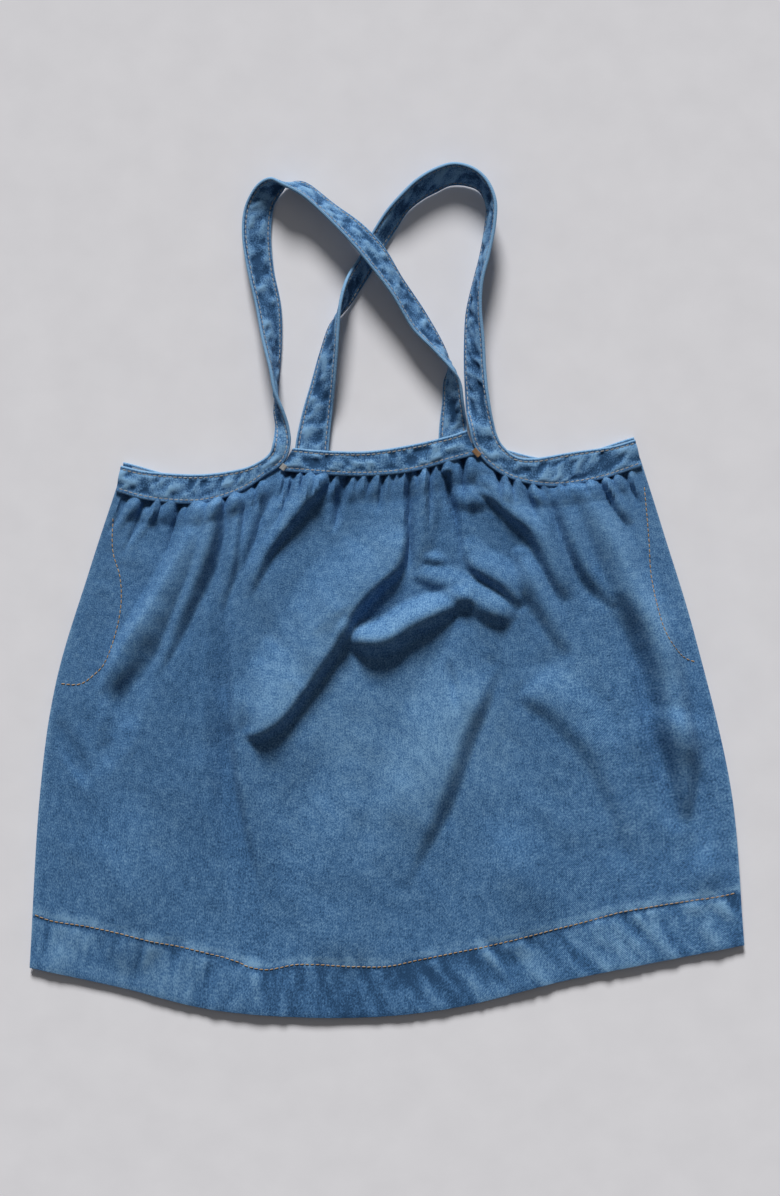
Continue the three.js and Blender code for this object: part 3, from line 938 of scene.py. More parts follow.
@dataclass(frozen=True)
class Denim:
    """Stone-washed denim: a twill of blue warp and pale weft, mottled, and paler where it is worn; the same
    attribute also carries painted shade in the skirt front's fold creases and painted highlight on its fold
    ridges.

    Attributes:
        name: The material's name.
        dark: Colour of the unfaded cloth, and of the painted shade in the skirt front's fold creases.
        middle: Colour of most of the cloth.
        pale: Colour of the worn cloth, and of the painted highlight on the skirt front's fold ridges.
        twill: Distance between the twill's ribs, in metres.
        mottle: Strength of the mottling.
        lighter: Shift towards the pale colour.
    """

    name: str
    dark: COLOUR
    middle: COLOUR
    pale: COLOUR
    twill: float = 0.0009
    mottle: float = 1.0
    lighter: float = 0.0

    def material(self) -> bpy.types.Material:
        """Make the material."""
        shader = Shader(self.name)
        cut = shader.flat_cut()
        ribs = shader.node(
            "ShaderNodeTexWave",
            {"wave_type": "BANDS", "bands_direction": "DIAGONAL"},
            {"Vector": cut, "Scale": 0.628 / self.twill, "Distortion": 1.6, "Detail": 1, "Detail Scale": 1.5},
            "Fac",
        )
        slubs = shader.noise(shader.stretched(cut, (1500, 130, 1)), 1.0, 2, 0.6)
        weft = shader.noise(shader.stretched(cut, (150, 1300, 1)), 1.0, 1)
        specks = shader.noise(cut, 1000, 3, 0.7)
        patches = shader.noise(cut, 190, 3, 0.6)
        clouds = shader.noise(cut, 22, 2, 0.5)
        tone = (
            0.5 + self.lighter
            + self.mottle * (
                0.4 * (slubs - 0.5) + 0.2 * (weft - 0.5) + 2.0 * (specks - 0.5)
                + 0.75 * (patches - 0.5) + 0.3 * (clouds - 0.5)
            )
            + 0.10 * (ribs - 0.5)
            # the wear attribute: real wear, and on the skirt's front also painted fold shade and painted
            # highlight
            + 0.42 * shader.worn()
        )
        stops = [(0.12, self.dark), (0.5, self.middle), (1.0, self.pale)]
        colour = shader.node("ShaderNodeValToRGB", {"stops": stops}, {"Fac": tone}, "Color")
        relief = 0.45 * ribs + 0.3 * slubs + 0.35 * specks
        shader.finish(colour, 0.86 + 0.12 * (specks - 0.5), relief, 0.0003, **{"Specular IOR Level": 0.22})
        return shader.material


@dataclass(frozen=True)
class PlainWeave:
    """Thin plain-woven cotton.

    Attributes:
        name: The material's name.
        dark: Colour of the thinner places.
        pale: Colour of the fuller places.
        thread: Distance between threads, in metres.
    """

    name: str
    dark: COLOUR
    pale: COLOUR
    thread: float = 0.0006

    def material(self) -> bpy.types.Material:
        """Make the material."""
        shader = Shader(self.name)
        cut = shader.flat_cut()
        threads = [
            shader.node(
                "ShaderNodeTexWave",
                {"wave_type": "BANDS", "bands_direction": direction},
                {"Vector": cut, "Scale": 0.314 / self.thread, "Distortion": 0.8},
                "Fac",
            )
            for direction in ("X", "Y")
        ]
        patches = shader.noise(cut, 260, 3, 0.6)
        weave = 0.5 * threads[0] + 0.5 * threads[1]
        tone = 0.3 * weave + 0.7 * patches
        stops = [(0.25, self.dark), (0.8, self.pale)]
        colour = shader.node("ShaderNodeValToRGB", {"stops": stops}, {"Fac": tone}, "Color")
        shader.finish(colour, 0.85 + 0.1 * (patches - 0.5), weave, 0.0002, **{"Specular IOR Level": 0.25})
        return shader.material


@dataclass(frozen=True)
class Thread:
    """Twisted sewing thread.

    Attributes:
        name: The material's name.
        shadow: Colour between the plies.
        dyed: Colour of most of the thread.
        faded: Colour where it has worn pale.
    """

    name: str
    shadow: COLOUR
    dyed: COLOUR
    faded: COLOUR

    def material(self) -> bpy.types.Material:
        """Make the material."""
        shader = Shader(self.name)
        place = shader.place()
        plies = shader.node(
            "ShaderNodeTexWave",
            {"wave_type": "BANDS", "bands_direction": "DIAGONAL"},
            {"Vector": place, "Scale": 900, "Distortion": 1.0},
            "Fac",
        )
        fading = shader.noise(place, 90, 3, 0.6)
        tone = 0.3 * plies + 0.9 * (fading - 0.5) + 0.35
        stops = [(0.1, self.shadow), (0.45, self.dyed), (0.85, self.faded)]
        colour = shader.node("ShaderNodeValToRGB", {"stops": stops}, {"Fac": tone}, "Color")
        shader.finish(colour, 0.62 + 0.1 * fading, plies, 0.00008, **{"Specular IOR Level": 0.35})
        return shader.material


@dataclass(frozen=True)
class StudioFloor:
    """Matt pale paper."""

    name: str = "studio_floor"
    pale: COLOUR = (0.785, 0.775, 0.80)
    paler: COLOUR = (0.815, 0.805, 0.83)

    def material(self) -> bpy.types.Material:
        """Make the material."""
        shader = Shader(self.name)
        grain = shader.noise(shader.place(), 40, 2)
        stops = [(0.3, self.pale), (0.7, self.paler)]
        colour = shader.node("ShaderNodeValToRGB", {"stops": stops}, {"Fac": grain}, "Color")
        shader.finish(colour, 0.9, grain, 0.0001, **{"Specular IOR Level": 0.1})
        return shader.material


class Finishes:
    """Every finish of the apron, made once."""

    def __init__(self) -> None:
        """Make the materials."""
        dark, middle, pale = (0.020, 0.070, 0.162), (0.062, 0.172, 0.360), (0.200, 0.378, 0.585)
        self.skirt = Denim("washed_denim", dark, middle, pale).material()
        self.band = Denim("band_denim", dark, middle, pale, mottle=1.25).material()
        self.strap = Denim("strap_denim", dark, (0.080, 0.200, 0.396), pale, mottle=1.2).material()
        inside = ((0.14, 0.2, 0.29), (0.27, 0.345, 0.44), (0.42, 0.48, 0.55))
        self.inside = Denim("denim_reverse", *inside, mottle=0.7).material()
        self.pocket = PlainWeave("pocket_cotton", (0.075, 0.14, 0.24), (0.15, 0.235, 0.36)).material()
        tobacco = ((0.16, 0.09, 0.04), (0.40, 0.26, 0.13), (0.48, 0.38, 0.26))
        faded = ((0.16, 0.15, 0.15), (0.34, 0.33, 0.31), (0.45, 0.47, 0.48))
        orange = ((0.12, 0.06, 0.03), (0.27, 0.14, 0.06), (0.36, 0.25, 0.15))
        self.thread = Thread("tobacco_thread", *tobacco).material()
        self.faded_thread = Thread("faded_thread", *faded).material()
        self.tack = Thread("orange_thread", *orange).material()
        self.floor = StudioFloor().material()


def settle_in(
    piece: bpy.types.Object, material: bpy.types.Material, slot: Slot, *nodes: str
) -> bpy.types.Object:
    """Dress a finished piece, hide the CAD parts that it stands for and report it.

    Args:
        piece: The finished piece.
        material: Its finish.
        slot: The slot of that finish; not used.
        nodes: The CAD nodes that it stands for.

    Returns:
        The piece.
    """
    piece.data.materials.clear()
    piece.data.materials.append(material)
    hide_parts(*nodes)
    LOG.info("%s: %d faces", piece.name, len(piece.data.polygons))
    return piece


# ------------------------------
# The apron
# ------------------------------


def laid_on(
    cloth: bpy.types.Object, points: POINTS, lift: float, spacing: float = 1.0
) -> tuple[np.ndarray, np.ndarray]:
    """Lay a line on the upper face of a piece.

    Args:
        cloth: The piece underneath.
        points: The line's points, as x and y in millimetres.
        lift: Height of the line above the piece.
        spacing: Distance between the points that are returned.

    Returns:
        Points on the piece, in millimetres, and the directions square to it.
    """
    rough = smooth_curve(points, np.linspace(0, 1, 20 * len(points)))
    run = np.concatenate([[0], np.cumsum(np.linalg.norm(np.diff(rough, axis=0), axis=1))])
    even = np.arange(0, run[-1], spacing)
    found, normals = [], []
    for x, y in zip(np.interp(even, run, rough[:, 0]), np.interp(even, run, rough[:, 1])):
        hit, place, normal, _ = cloth.ray_cast(Vector((x * MM, y * MM, 0.06)), Vector((0, 0, -1)))
        if hit:
            found.append(np.array(place) / MM + lift * np.array(normal))
            normals.append(np.array(normal))
    return np.array(found), np.array(normals)


@dataclass
class Skirt:
    """The skirt: a gathered front over a plain back, hemmed, with a pocket in each side seam.

    Attributes:
        finishes: The apron's finishes.
        settling: How the front settles.
        front_cells: Cells of the front's mesh, across and down.
        front_cut: Width and length of the front's flat cut, in metres.
        back_cells: Cells of the back's mesh.
        back_cut: Width and length of the back's flat cut.
        hem_pucker: Height of the slanting puckers in the hem.
        fullness: How far the folds stand out.
        lowest: Height that the middle of the front stays above, which leaves room for the layers inside.
        slack: Share of the settling that the stiff cloth follows, away from the hem.
    """

    finishes: Finishes
    settling: Settling = field(default_factory=Settling)
    front_cells: tuple[int, int] = (236, 188)
    front_cut: tuple[float, float] = (0.445, 0.330)
    back_cells: tuple[int, int] = (96, 72)
    back_cut: tuple[float, float] = (0.40, 0.33)
    hem_pucker: float = 0.75
    fullness: float = 1.45
    lowest: float = 3.1
    slack: float = 0.4

    FRONT_TOP = (
        (-161, 64), (-142, 59), (-112, 57), (-88, 63.5), (-62, 77), (-34, 74), (-10, 73), (20, 77),
        (50, 84), (74, 71.5), (96, 67), (128, 71), (151.5, 79),
    )
    HEM_LINE = (
        (-213.9, -225), (-160, -236.7), (-100, -250.8), (-25, -255), (40, -249), (110, -232),
        (213.9, -211.5),
    )
    HEM_STITCHES = (
        (-211, -194), (-200, -198), (-180, -201), (-160, -205), (-140, -210), (-120, -214),
        (-100, -219), (-90, -222),
        (-83, -225), (-73, -227), (-65, -226), (-55, -224), (-40, -224), (-20, -225), (0, -225),
        (20, -221),
        (40, -217), (60, -213), (80, -208), (100, -203), (120, -198), (140, -192.5), (160, -189),
        (180, -186),
        (200, -183), (211, -180.5),
    )
    LEFT_SIDE = ((-161, 64), (-178, 12), (-198, -55), (-208, -126), (-213.9, -225))
    RIGHT_SIDE = ((151.5, 79), (166, 33), (185, -30), (206, -120), (213.9, -211.5))
    BACK_TOP = ((-160, 57), (-112, 47), (-55, 56), (0, 60), (50, 68), (100, 60), (151, 71))
    BACK_LEFT = ((-160, 57), (-177, 11), (-197, -55), (-207, -126), (-213, -223))
    BACK_RIGHT = ((151, 71), (165, 30), (184, -30), (205, -120), (213, -209.5))
    BACK_HEM = ((-213, -223), (-160, -234.5), (-100, -249), (-25, -253), (40, -247), (110, -230),
        (213, -209.5))
    POCKETS = {
        "left": (
            ((-167, 42), (-176, 14), (-185, -16), (-190, -36), (-194.5, -50)),
            ((-163.5, 43), (-161.5, 14), (-159.5, -10), (-166.5, -38), (-190, -55.5)),
            ((-164, 43.5), (-164, 24), (-159.7, 8.1), (-159, -7.9), (-162.2, -25), (-168.3, -42.3),
                (-175.6, -50.7), (-184.2, -56.1), (-197, -55.6)),
        ),
        "right": (
            ((161, 45), (169, 20), (175, -2), (181, -20), (185.5, -36)),
            ((155.5, 50), (157, 14), (161.5, -10), (168.5, -30), (182, -41.5)),
            ((153.9, 62.2), (156.6, 31), (157.8, 10.2), (161.1, -10.5), (166.2, -26.1),
                (175.2, -38.1), (183, -42.3), (187.4, -41.7)),
        ),
    }

    def laid(self) -> SURFACE:
        """Return the front's middle as it is laid down, with every broad fold."""
        flat = lifted(patch(self.FRONT_TOP, self.HEM_LINE, self.LEFT_SIDE, self.RIGHT_SIDE), front_height)
        relief = Relief(FRONT_FOLDS)

        def surface(u: np.ndarray, v: np.ndarray) -> np.ndarray:
            """Return the points of the laid front."""
            p = flat(u, v)
            x, y = p[..., 0], p[..., 1]
            below_seam = v * SKIRT_LENGTH
            from_side = np.minimum(u, 1 - u) * 2 * WAIST_HALF_WIDTH
            rumple = 0.75 * Hills(3).at(x / 21 + y / 60, y / 30 + 40)
            rumple += 0.35 * Hills(4).at(x / 10 + y / 25, y / 13 + 50)
            free = smoothstep(5, 12, below_seam)
            folds = self.fullness * relief.height(x, y, free) + free * rumple
            swell = 2.0 * bump((below_seam - 17) / 13) * smoothstep(0, 30, from_side)
            p[..., 2] += CLOTH / 2 + folds * smoothstep(0, 12, from_side) + swell
            return p

        return surface

    def held(self, u: np.ndarray, v: np.ndarray) -> np.ndarray:
        """Return how firmly the front is held: wholly along its seams and along its stiff hem."""
        along = np.maximum(1 - smoothstep(0.018, 0.05, v), smoothstep(0.89, 0.94, v))
        return np.maximum(along, 1 - smoothstep(0.0, 0.03, np.minimum(u, 1 - u)))

    def front(self) -> SURFACE:
        """Return the front's middle once it has settled, with the puckers that its seams draw."""
        laid = self.laid()
        settled = self.settling.run(laid, self.held)
        gathers = Relief([fold for stretch in GATHERS for fold in stretch.folds()])

        def surface(u: np.ndarray, v: np.ndarray) -> np.ndarray:
            """Return the points of the settled front; its rows lie closer together towards the waist."""
            v = v**ROW_CROWDING
            slack = (self.slack * smoothstep(0.86, 0.62, v))[..., None]
            p = (1 - slack) * laid(u, v) + slack * settled(u, v)
            x, y = p[..., 0].copy(), p[..., 1].copy()
            p[..., 2] += gathers.height(x, y, smoothstep(3, 7, v * SKIRT_LENGTH)) + self.puckers(x, y)
            above_rest = p[..., 2] - self.lowest
            p[..., 2] = self.lowest + 0.5 * (above_rest + np.sqrt(above_rest**2 + 0.2))
            return p

        return surface

    def above_stitches(self, x: np.ndarray, y: np.ndarray) -> np.ndarray:
        """Return how far each place lies above the hem's row of stitches."""
        return y - np.interp(x, *np.array(self.HEM_STITCHES).T)

    def puckers(self, x: np.ndarray, y: np.ndarray) -> np.ndarray:
        """Return the height of the puckers that the hem's row of stitches draws.

        Args:
            x: Places across, in millimetres.
            y: Places up, in millimetres.

        Returns:
            Heights, in millimetres; the puckers slant more and stand higher towards the right.
        """
        above = self.above_stitches(x, y)
        right = smoothstep(-120, 90, x)
        lean = 0.9 * right - 0.18
        slanted = x + lean * above
        wave = 1.3 * Hills(5).at(slanted / 5.2 + 30, above / 30 + 9)
        wave += 0.9 * Hills(6).at(slanted / 2.7 + 60, above / 11 + 9)
        calmer = 0.55 + 0.45 * smoothstep(-26, -8, above)
        below = smoothstep(0.5, -3.5, above) * (0.65 + 0.65 * right) * calmer
        short = 0.6 * smoothstep(8, 0, above) * smoothstep(-0.5, 0.5, above)
        groove = 0.75 * np.exp(-((above / 0.9) ** 2))
        return self.hem_pucker * wave * (below + short) - groove

    def wear(self, points: np.ndarray) -> np.ndarray:
        """Return how worn the front is, with painted fold shade: pale above the hem's stitches and along the
        side edges, paler over a broad patch in the middle, paler on fold ridges and darker in creases, partly
        as stone-wash fading and partly as painted highlight and painted shade.
        """
        x, y = points[:, 0], points[:, 1]
        above = self.above_stitches(x, y)
        line = 0.95 * np.exp(-(((above - 2.4) / 2.2) ** 2)) - 0.6 * np.exp(-(((above + 1.2) / 1.0) ** 2))
        sides = (self.LEFT_SIDE, self.RIGHT_SIDE)
        left, right = (np.interp(y, *np.array(side[::-1]).T[::-1]) for side in sides)
        edge = np.minimum(x - left, right - x)
        seams = 0.5 * np.exp(-edge / 1.1)
        belly = 0.4 * np.exp(-(((x - 5) / 85) ** 2) - ((y + 85) / 62) ** 2)
        belly += 0.1 * smoothstep(36, 24, edge) * smoothstep(-75, -50, y)
        turned = smoothstep(0, -3, above) * (
            0.07 + 0.24 * smoothstep(-80, -130, x) - 0.42 * np.exp(-(((x + 25) / 60) ** 2))
        )
        pleats = Relief([fold for stretch in GATHERS for fold in stretch.folds()])
        # painted shade and painted highlight: fold and gather creases are darkened and fold ridges paled in
        # colour, partly stone-wash fading and partly to deepen the folds' shading
        fold_fading_and_painted_shade = 0.045 * Relief(FRONT_FOLDS).height(x, y) + 0.05 * pleats.height(x, y)
        puckers = 0.7 * self.puckers(x, y) / self.hem_pucker
        return puckers + line + np.clip(seams, 0, 0.5) + belly + turned + fold_fading_and_painted_shade

    def curled(self, surface: SURFACE, radius: float = 0.8, share: float = 0.014) -> SURFACE:
        """Turn the last share of v under, round the fold at the hem's edge."""

        def result(u: np.ndarray, v: np.ndarray) -> np.ndarray:
            """Return the surface with its turned edge."""
            way = v * (1 + share)
            p = surface(u, np.minimum(way, 1))
            angle = math.pi * np.clip((way - 1) / share, 0, 1)
            p[..., 1] -= radius * np.sin(angle)
            p[..., 2] -= radius * (1 - np.cos(angle))
            return p

        return result

    def build(self) -> bpy.types.Object:
        """Build the skirt.

        Returns:
            The front, which the waistband's front lies on.
        """
        finishes = self.finishes
        surface = self.front()
        turned_edge = self.curled(surface)
        front = cloth_layer("skirt_front", turned_edge, self.front_cells, self.front_cut, wear=self.wear)
        settle_in(front, finishes.skirt, Slot.SKIRT, "front_panel")
        facing = lifted(part(surface, (0.02, 0.98), (HEM_START ** (1 / ROW_CROWDING), 0.997)), -0.85)
        front_facing = cloth_layer("front_hem_turning", facing, (170, 16), (0.43, 0.031), 0.6)
        settle_in(front_facing, finishes.inside, Slot.INSIDE, "front_hem_facing")
        stitches = Stitching()
        hem_row = laid_on(front, self.HEM_STITCHES, 0.2)
        front_stitches = stitches.build("front_hem_stitches", [hem_row])
        settle_in(front_stitches, finishes.thread, Slot.THREAD, "front_hem_stitching")

        back_surface = lifted(patch(self.BACK_TOP, self.BACK_HEM, self.BACK_LEFT, self.BACK_RIGHT), CLOTH / 2)
        back = cloth_layer("skirt_back", back_surface, self.back_cells, self.back_cut)
        settle_in(back, finishes.skirt, Slot.SKIRT, "back_panel")
        turned = lifted(part(back_surface, (0.02, 0.98), (HEM_START, 0.996)), 0.85)
        back_facing = cloth_layer("back_hem_turning", turned, (96, 8), (0.41, 0.029), 0.6)
        settle_in(back_facing, finishes.inside, Slot.INSIDE, "back_hem_facing")
        row = part(turned, (0.01, 0.99), (0.06, 0.06))
        back_line = row(np.linspace(0, 1, 40), np.zeros(40))
        back_stitches = stitches.build("back_hem_stitches", [laid_on(back_facing, back_line[:, :2], 0.15)])
        settle_in(back_stitches, finishes.thread, Slot.THREAD, "back_hem_stitching")
        pieces = [front, front_facing, front_stitches, back, back_facing, back_stitches]
        pieces += self._sides(front)
        for piece in pieces:
            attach(piece, "skirt")
        return front

    def _sides(self, front: bpy.types.Object) -> list[bpy.types.Object]:
        """Build the side seams and the pockets.

        Args:
            front: The front, which the pocket stitching holds.

        Returns:
            The pieces.
        """
        finishes = self.finishes
        pieces = []
        for side, edge, inward in (("left", self.LEFT_SIDE, 1), ("right", self.RIGHT_SIDE, -1)):
            stations = smooth_curve(edge, np.array([0.56, 0.67, 0.78, 0.89, 0.99]))[:, :2]
            outer, inner = ([(x + inward * inset, y) for x, y in stations] for inset in (1.2, 6.5))
            order = (outer, inner) if inward > 0 else (inner, outer)
            seam = cloth_layer(f"{side}_seam", lifted(strip(*order), 2.2), (4, 60), (0.0055, 0.17), 1.5)
            settle_in(seam, finishes.inside, Slot.INSIDE, f"{side}_side_seam")
            mouth, bag, arc = self.POCKETS[side]
            shape = strip(mouth, bag) if inward > 0 else strip(bag, mouth)
            under, over = (
                cloth_layer(f"{side}_pocket_{bag}", lifted(shape, lift), (14, 40), (0.022, 0.11), 0.5)
                for bag, lift in (("under", LAYER + 0.3), ("over", 2 * LAYER + 0.2))
            )
            settle_in(under, finishes.pocket, Slot.POCKET, f"{side}_pocket_back_bag")
            settle_in(over, finishes.pocket, Slot.POCKET, f"{side}_pocket_front_bag")
            row = laid_on(front, arc, 0.12)
            stitches = Stitching(seed=11).build(f"{side}_pocket_stitches", [row])
            settle_in(stitches, finishes.thread, Slot.THREAD, f"{side}_pocket_stitching")
            pieces += [seam, under, over, stitches]
        return pieces


def on_front(points: POINTS, lift: float) -> list[tuple[float, float, float]]:
    """Raise a band's edge above the front."""
    return [(x, y, float(front_height(np.array(x), np.array(y))) + lift) for x, y in points]


BAND_LIFT = LAYER + 0.95


@dataclass
class Waistband:
    """The centre of the front waistband, the back waistband and the facings inside them.

    Attributes:
        finishes: The apron's finishes.
        band_lift: Height of a front band's middle above the front's underside.
    """

    finishes: Finishes
    band_lift: float = BAND_LIFT

    CENTRE_LOWER = ((-63.5, 71.2), (-34, 68.7), (-10, 68.1), (14, 70.5), (35, 76), (53, 80.8))
    CENTRE_UPPER = ((-55.8, 84.9), (-34, 83.1), (-10, 83.1), (14, 86.7), (35, 91.5), (47.3, 95.4))
    BACK_LOWER = ((-160, 57.4), (-112, 47.4), (-55, 56.4), (0, 60.4), (50, 68.4), (100, 60.4),
        (151, 71.4))
    BACK_UPPER = ((-158, 77), (-112, 67), (-55, 76.5), (0, 80.5), (50, 88.5), (100, 79), (148, 92))

    def build(self) -> None:
        """Build the bands that don't grow into straps."""
        finishes = self.finishes
        edges = (on_front(self.CENTRE_LOWER, self.band_lift), on_front(self.CENTRE_UPPER, self.band_lift))
        centre = Strip(*edges, seed=3)
        band = settle_in(centre.build("centre_waistband"), finishes.band, Slot.BAND, "centre_front_band")
        back = Strip(
            [(x, y, 0.9) for x, y in self.BACK_LOWER], [(x, y, 0.9) for x, y in self.BACK_UPPER], seed=5,
            fullness=1.6, thickness=1.4, pucker=0.15,
        )
        back_band = settle_in(back.build("back_waistband_outer"), finishes.band, Slot.BAND, "back_waistband")
        pieces = [band, back_band]
        face = int(np.sign(centre.normal[len(centre.run) // 2, 2]))
        for row, edge in (("lower", -1), ("upper", 1)):
            line = centre.row(edge, face, 1, centre.length - 1)
            stitches = Stitching(seed=20 + edge).build(f"centre_{row}_stitches", [line])
            settle_in(stitches, finishes.faded_thread, Slot.THREAD, f"centre_front_band_{row}_stitching")
            pieces.append(stitches)
        facing = part(strip(*edges), (0.05, 0.95), (0.01, 0.99))
        inner = cloth_layer("centre_waistband_facing", lifted(facing, -2.9), (8, 60), (0.013, 0.11), 0.7)
        settle_in(inner, finishes.inside, Slot.INSIDE, "centre_front_band_facing")
        back_facing = lifted(part(strip(self.BACK_LOWER, self.BACK_UPPER), (0.05, 0.93), (0.02, 0.98)), 2.1)
        back_inner = cloth_layer("back_waistband_facing_cloth", back_facing, (8, 110), (0.016, 0.31), 0.7)
        settle_in(back_inner, finishes.inside, Slot.INSIDE, "back_waistband_facing")
        for piece in [*pieces, inner, back_inner]:
            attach(piece, "skirt")


@dataclass
class StrapRoute:
    """One side band and the shoulder strap that it turns into, as the two edges of one strip.

    Attributes:
        side: The side of the front that it starts from.
        band_first: The band's edge that becomes the strap's first edge, as x and y.
        band_second: The band's other edge.
        first: The strap's first edge.
        second: The strap's second edge.
        end_first: Where the first edge is sewn down inside the back.
        end_second: Where the second edge is sewn down.
        tack: Place and turn of the bar tack that holds the band's end.
        tack_length: Length of that bar tack.
        seed: Seed of the strip's puckers.
    """

    side: str
    band_first: POINTS
    band_second: POINTS
    first: POINTS
    second: POINTS
    end_first: POINTS
    end_second: POINTS
    tack: tuple[float, float, float]
    tack_length: float
    seed: int


LEFT_ROUTE = StrapRoute(
    side="left",
    band_first=((-159, 74.7), (-142, 71.1), (-112, 69.3), (-88, 72.3), (-76, 77), (-70, 82),
        (-68.2, 87.4)),
    band_second=((-162, 59.1), (-142, 53.7), (-112, 51.9), (-88, 58.5), (-72, 68.5), (-61, 76.5),
        (-57.2, 88.4)),
    first=((-66.6, 98, 5.5), (-67.4, 107.3, 2), (-66.2, 118.5, 0.9), (-64.9, 131.8, 0.9),
        (-63.3, 150.3, 0.9), (-63.6, 170.7, 0.9), (-67.8, 192.3, 0.9), (-69.4, 212.7, 0.9),
        (-68, 228.3, 0.9), (-65.4, 234.9, 0.9), (-62.4, 239.4, 0.9), (-58.8, 243.4, 0.9),
        (-48.6, 244, 1.5), (-31.2, 230.7, 4.5), (-15, 218.7, 9), (-1.8, 204.9, 9), (9, 186.9, 5.5),
        (22.2, 167.7, 1.6), (33.2, 147.9, 0.9), (37.2, 134.7, 0.9), (34.2, 125.1, 0.9),
        (33.3, 113.1, 0.9), (31.9, 104, 1.2), (31.2, 97.4, 2.2), ),
    second=((-58.6, 98, 14), (-61.9, 107.3, 16.6), (-66.7, 118.5, 18.4), (-69.6, 132.3, 18),
        (-74.5, 150.3, 15), (-78.6, 170.7, 11), (-83.7, 192.3, 9), (-86.7, 212.7, 6.5),
        (-85.3, 228.9, 6), (-78.6, 240.9, 10.5), (-70.2, 245.2, 15.5), (-62.6, 241.5, 18.4),
        (-49.9, 234.3, 16.8), (-37.2, 222.9, 17.5), (-22.6, 207.5, 19), (-11.4, 194.1, 19.2),
        (3, 175.5, 18.5), (15, 155.7, 16), (27.6, 143.1, 17.4), (38.8, 131.1, 18.4),
        (43.8, 123.3, 15), (45.6, 113.1, 11.8), (47, 105, 7.5), (48, 98.9, 3.4), ),
    end_first=((30.9, 92, 3.2), (30.2, 74, 3.2)),
    end_second=((48.4, 93, 3.2), (49.4, 75.5, 3.2)),
    tack=(-61.6, 73.6, 0.95),
    tack_length=3.6,
    seed=11,
)
RIGHT_ROUTE = StrapRoute(
    side="right",
    band_first=((152.4, 74.1), (127.8, 66.3), (103.8, 62.1), (88.8, 62.7), (73, 66.8), (60.5, 74.5),
        (52, 85.5), (48.8, 97.4), ),
    band_second=((148.2, 90.3), (133.8, 86.1), (109.8, 82.5), (88, 78.9), (76.8, 80.1), (69, 86.5),
        (65.5, 93), (63.9, 98.9), ),
    first=((47.4, 107.7, 5), (47, 119.7, 1.6), (46.4, 132.3, 0.9), (46.5, 150.3, 0.9),
        (47.7, 166.5, 0.9), (51.6, 183.3, 0.9), (55.8, 199.5, 0.9), (58.8, 216.3, 0.9),
        (59.8, 230, 0.9), (55.8, 239.1, 0.9), (47.4, 242.7, 0.9), (37.8, 242.7, 0.9),
        (30, 239.1, 0.9), (21, 234.3, 0.9), (12.3, 227.1, 0.9), (5.4, 216.3, 0.9),
        (-0.9, 206.1, 0.9), (-5.4, 197.1, 0.9), (-10.8, 188.1, 0.9), (-16.8, 179.1, 0.9),
        (-22, 171.7, 0.9), (-27.3, 165.9, 0.9), (-34.2, 158.7, 0.9), (-39.9, 143.1, 0.9),
        (-45.1, 125.7, 1.3), (-50.4, 108.3, 1.9), (-54.4, 90.2, 2.9), ),
    second=((62, 107.7, 14), (59.9, 119.7, 14.8), (58.7, 132.3, 14.6), (57.6, 150.3, 15.4),
        (55.9, 168.3, 17), (56.6, 183.9, 18.4), (60.5, 199.5, 18.8), (63.9, 216.3, 18.8),
        (64.4, 231.5, 18.8), (59.4, 243.9, 18), (51, 251.5, 16.8), (39.6, 254.4, 15.4),
        (28.2, 251.1, 15.2), (17.6, 244.7, 15), (8.4, 236.1, 14), (-0.6, 226.5, 10.5),
        (-8.1, 215.7, 6.5), (-13.2, 206.7, 5.5), (-17.7, 198, 6), (-22.8, 189.3, 10),
        (-25.8, 180.3, 15.8), (-27.9, 169.5, 18.2), (-28.6, 157.5, 17.5), (-29.4, 143.1, 15.4),
        (-30.6, 125.7, 11), (-32.4, 108.3, 5), (-34.2, 91.9, 3.2), ),
    end_first=((-55.4, 79, 3.2), (-56.5, 62, 3.2)),
    end_second=((-35.2, 79, 3.2), (-36.5, 62, 3.2)),
    tack=(53.6, 81.8, -0.8),
    tack_length=5.2,
    seed=17,
)


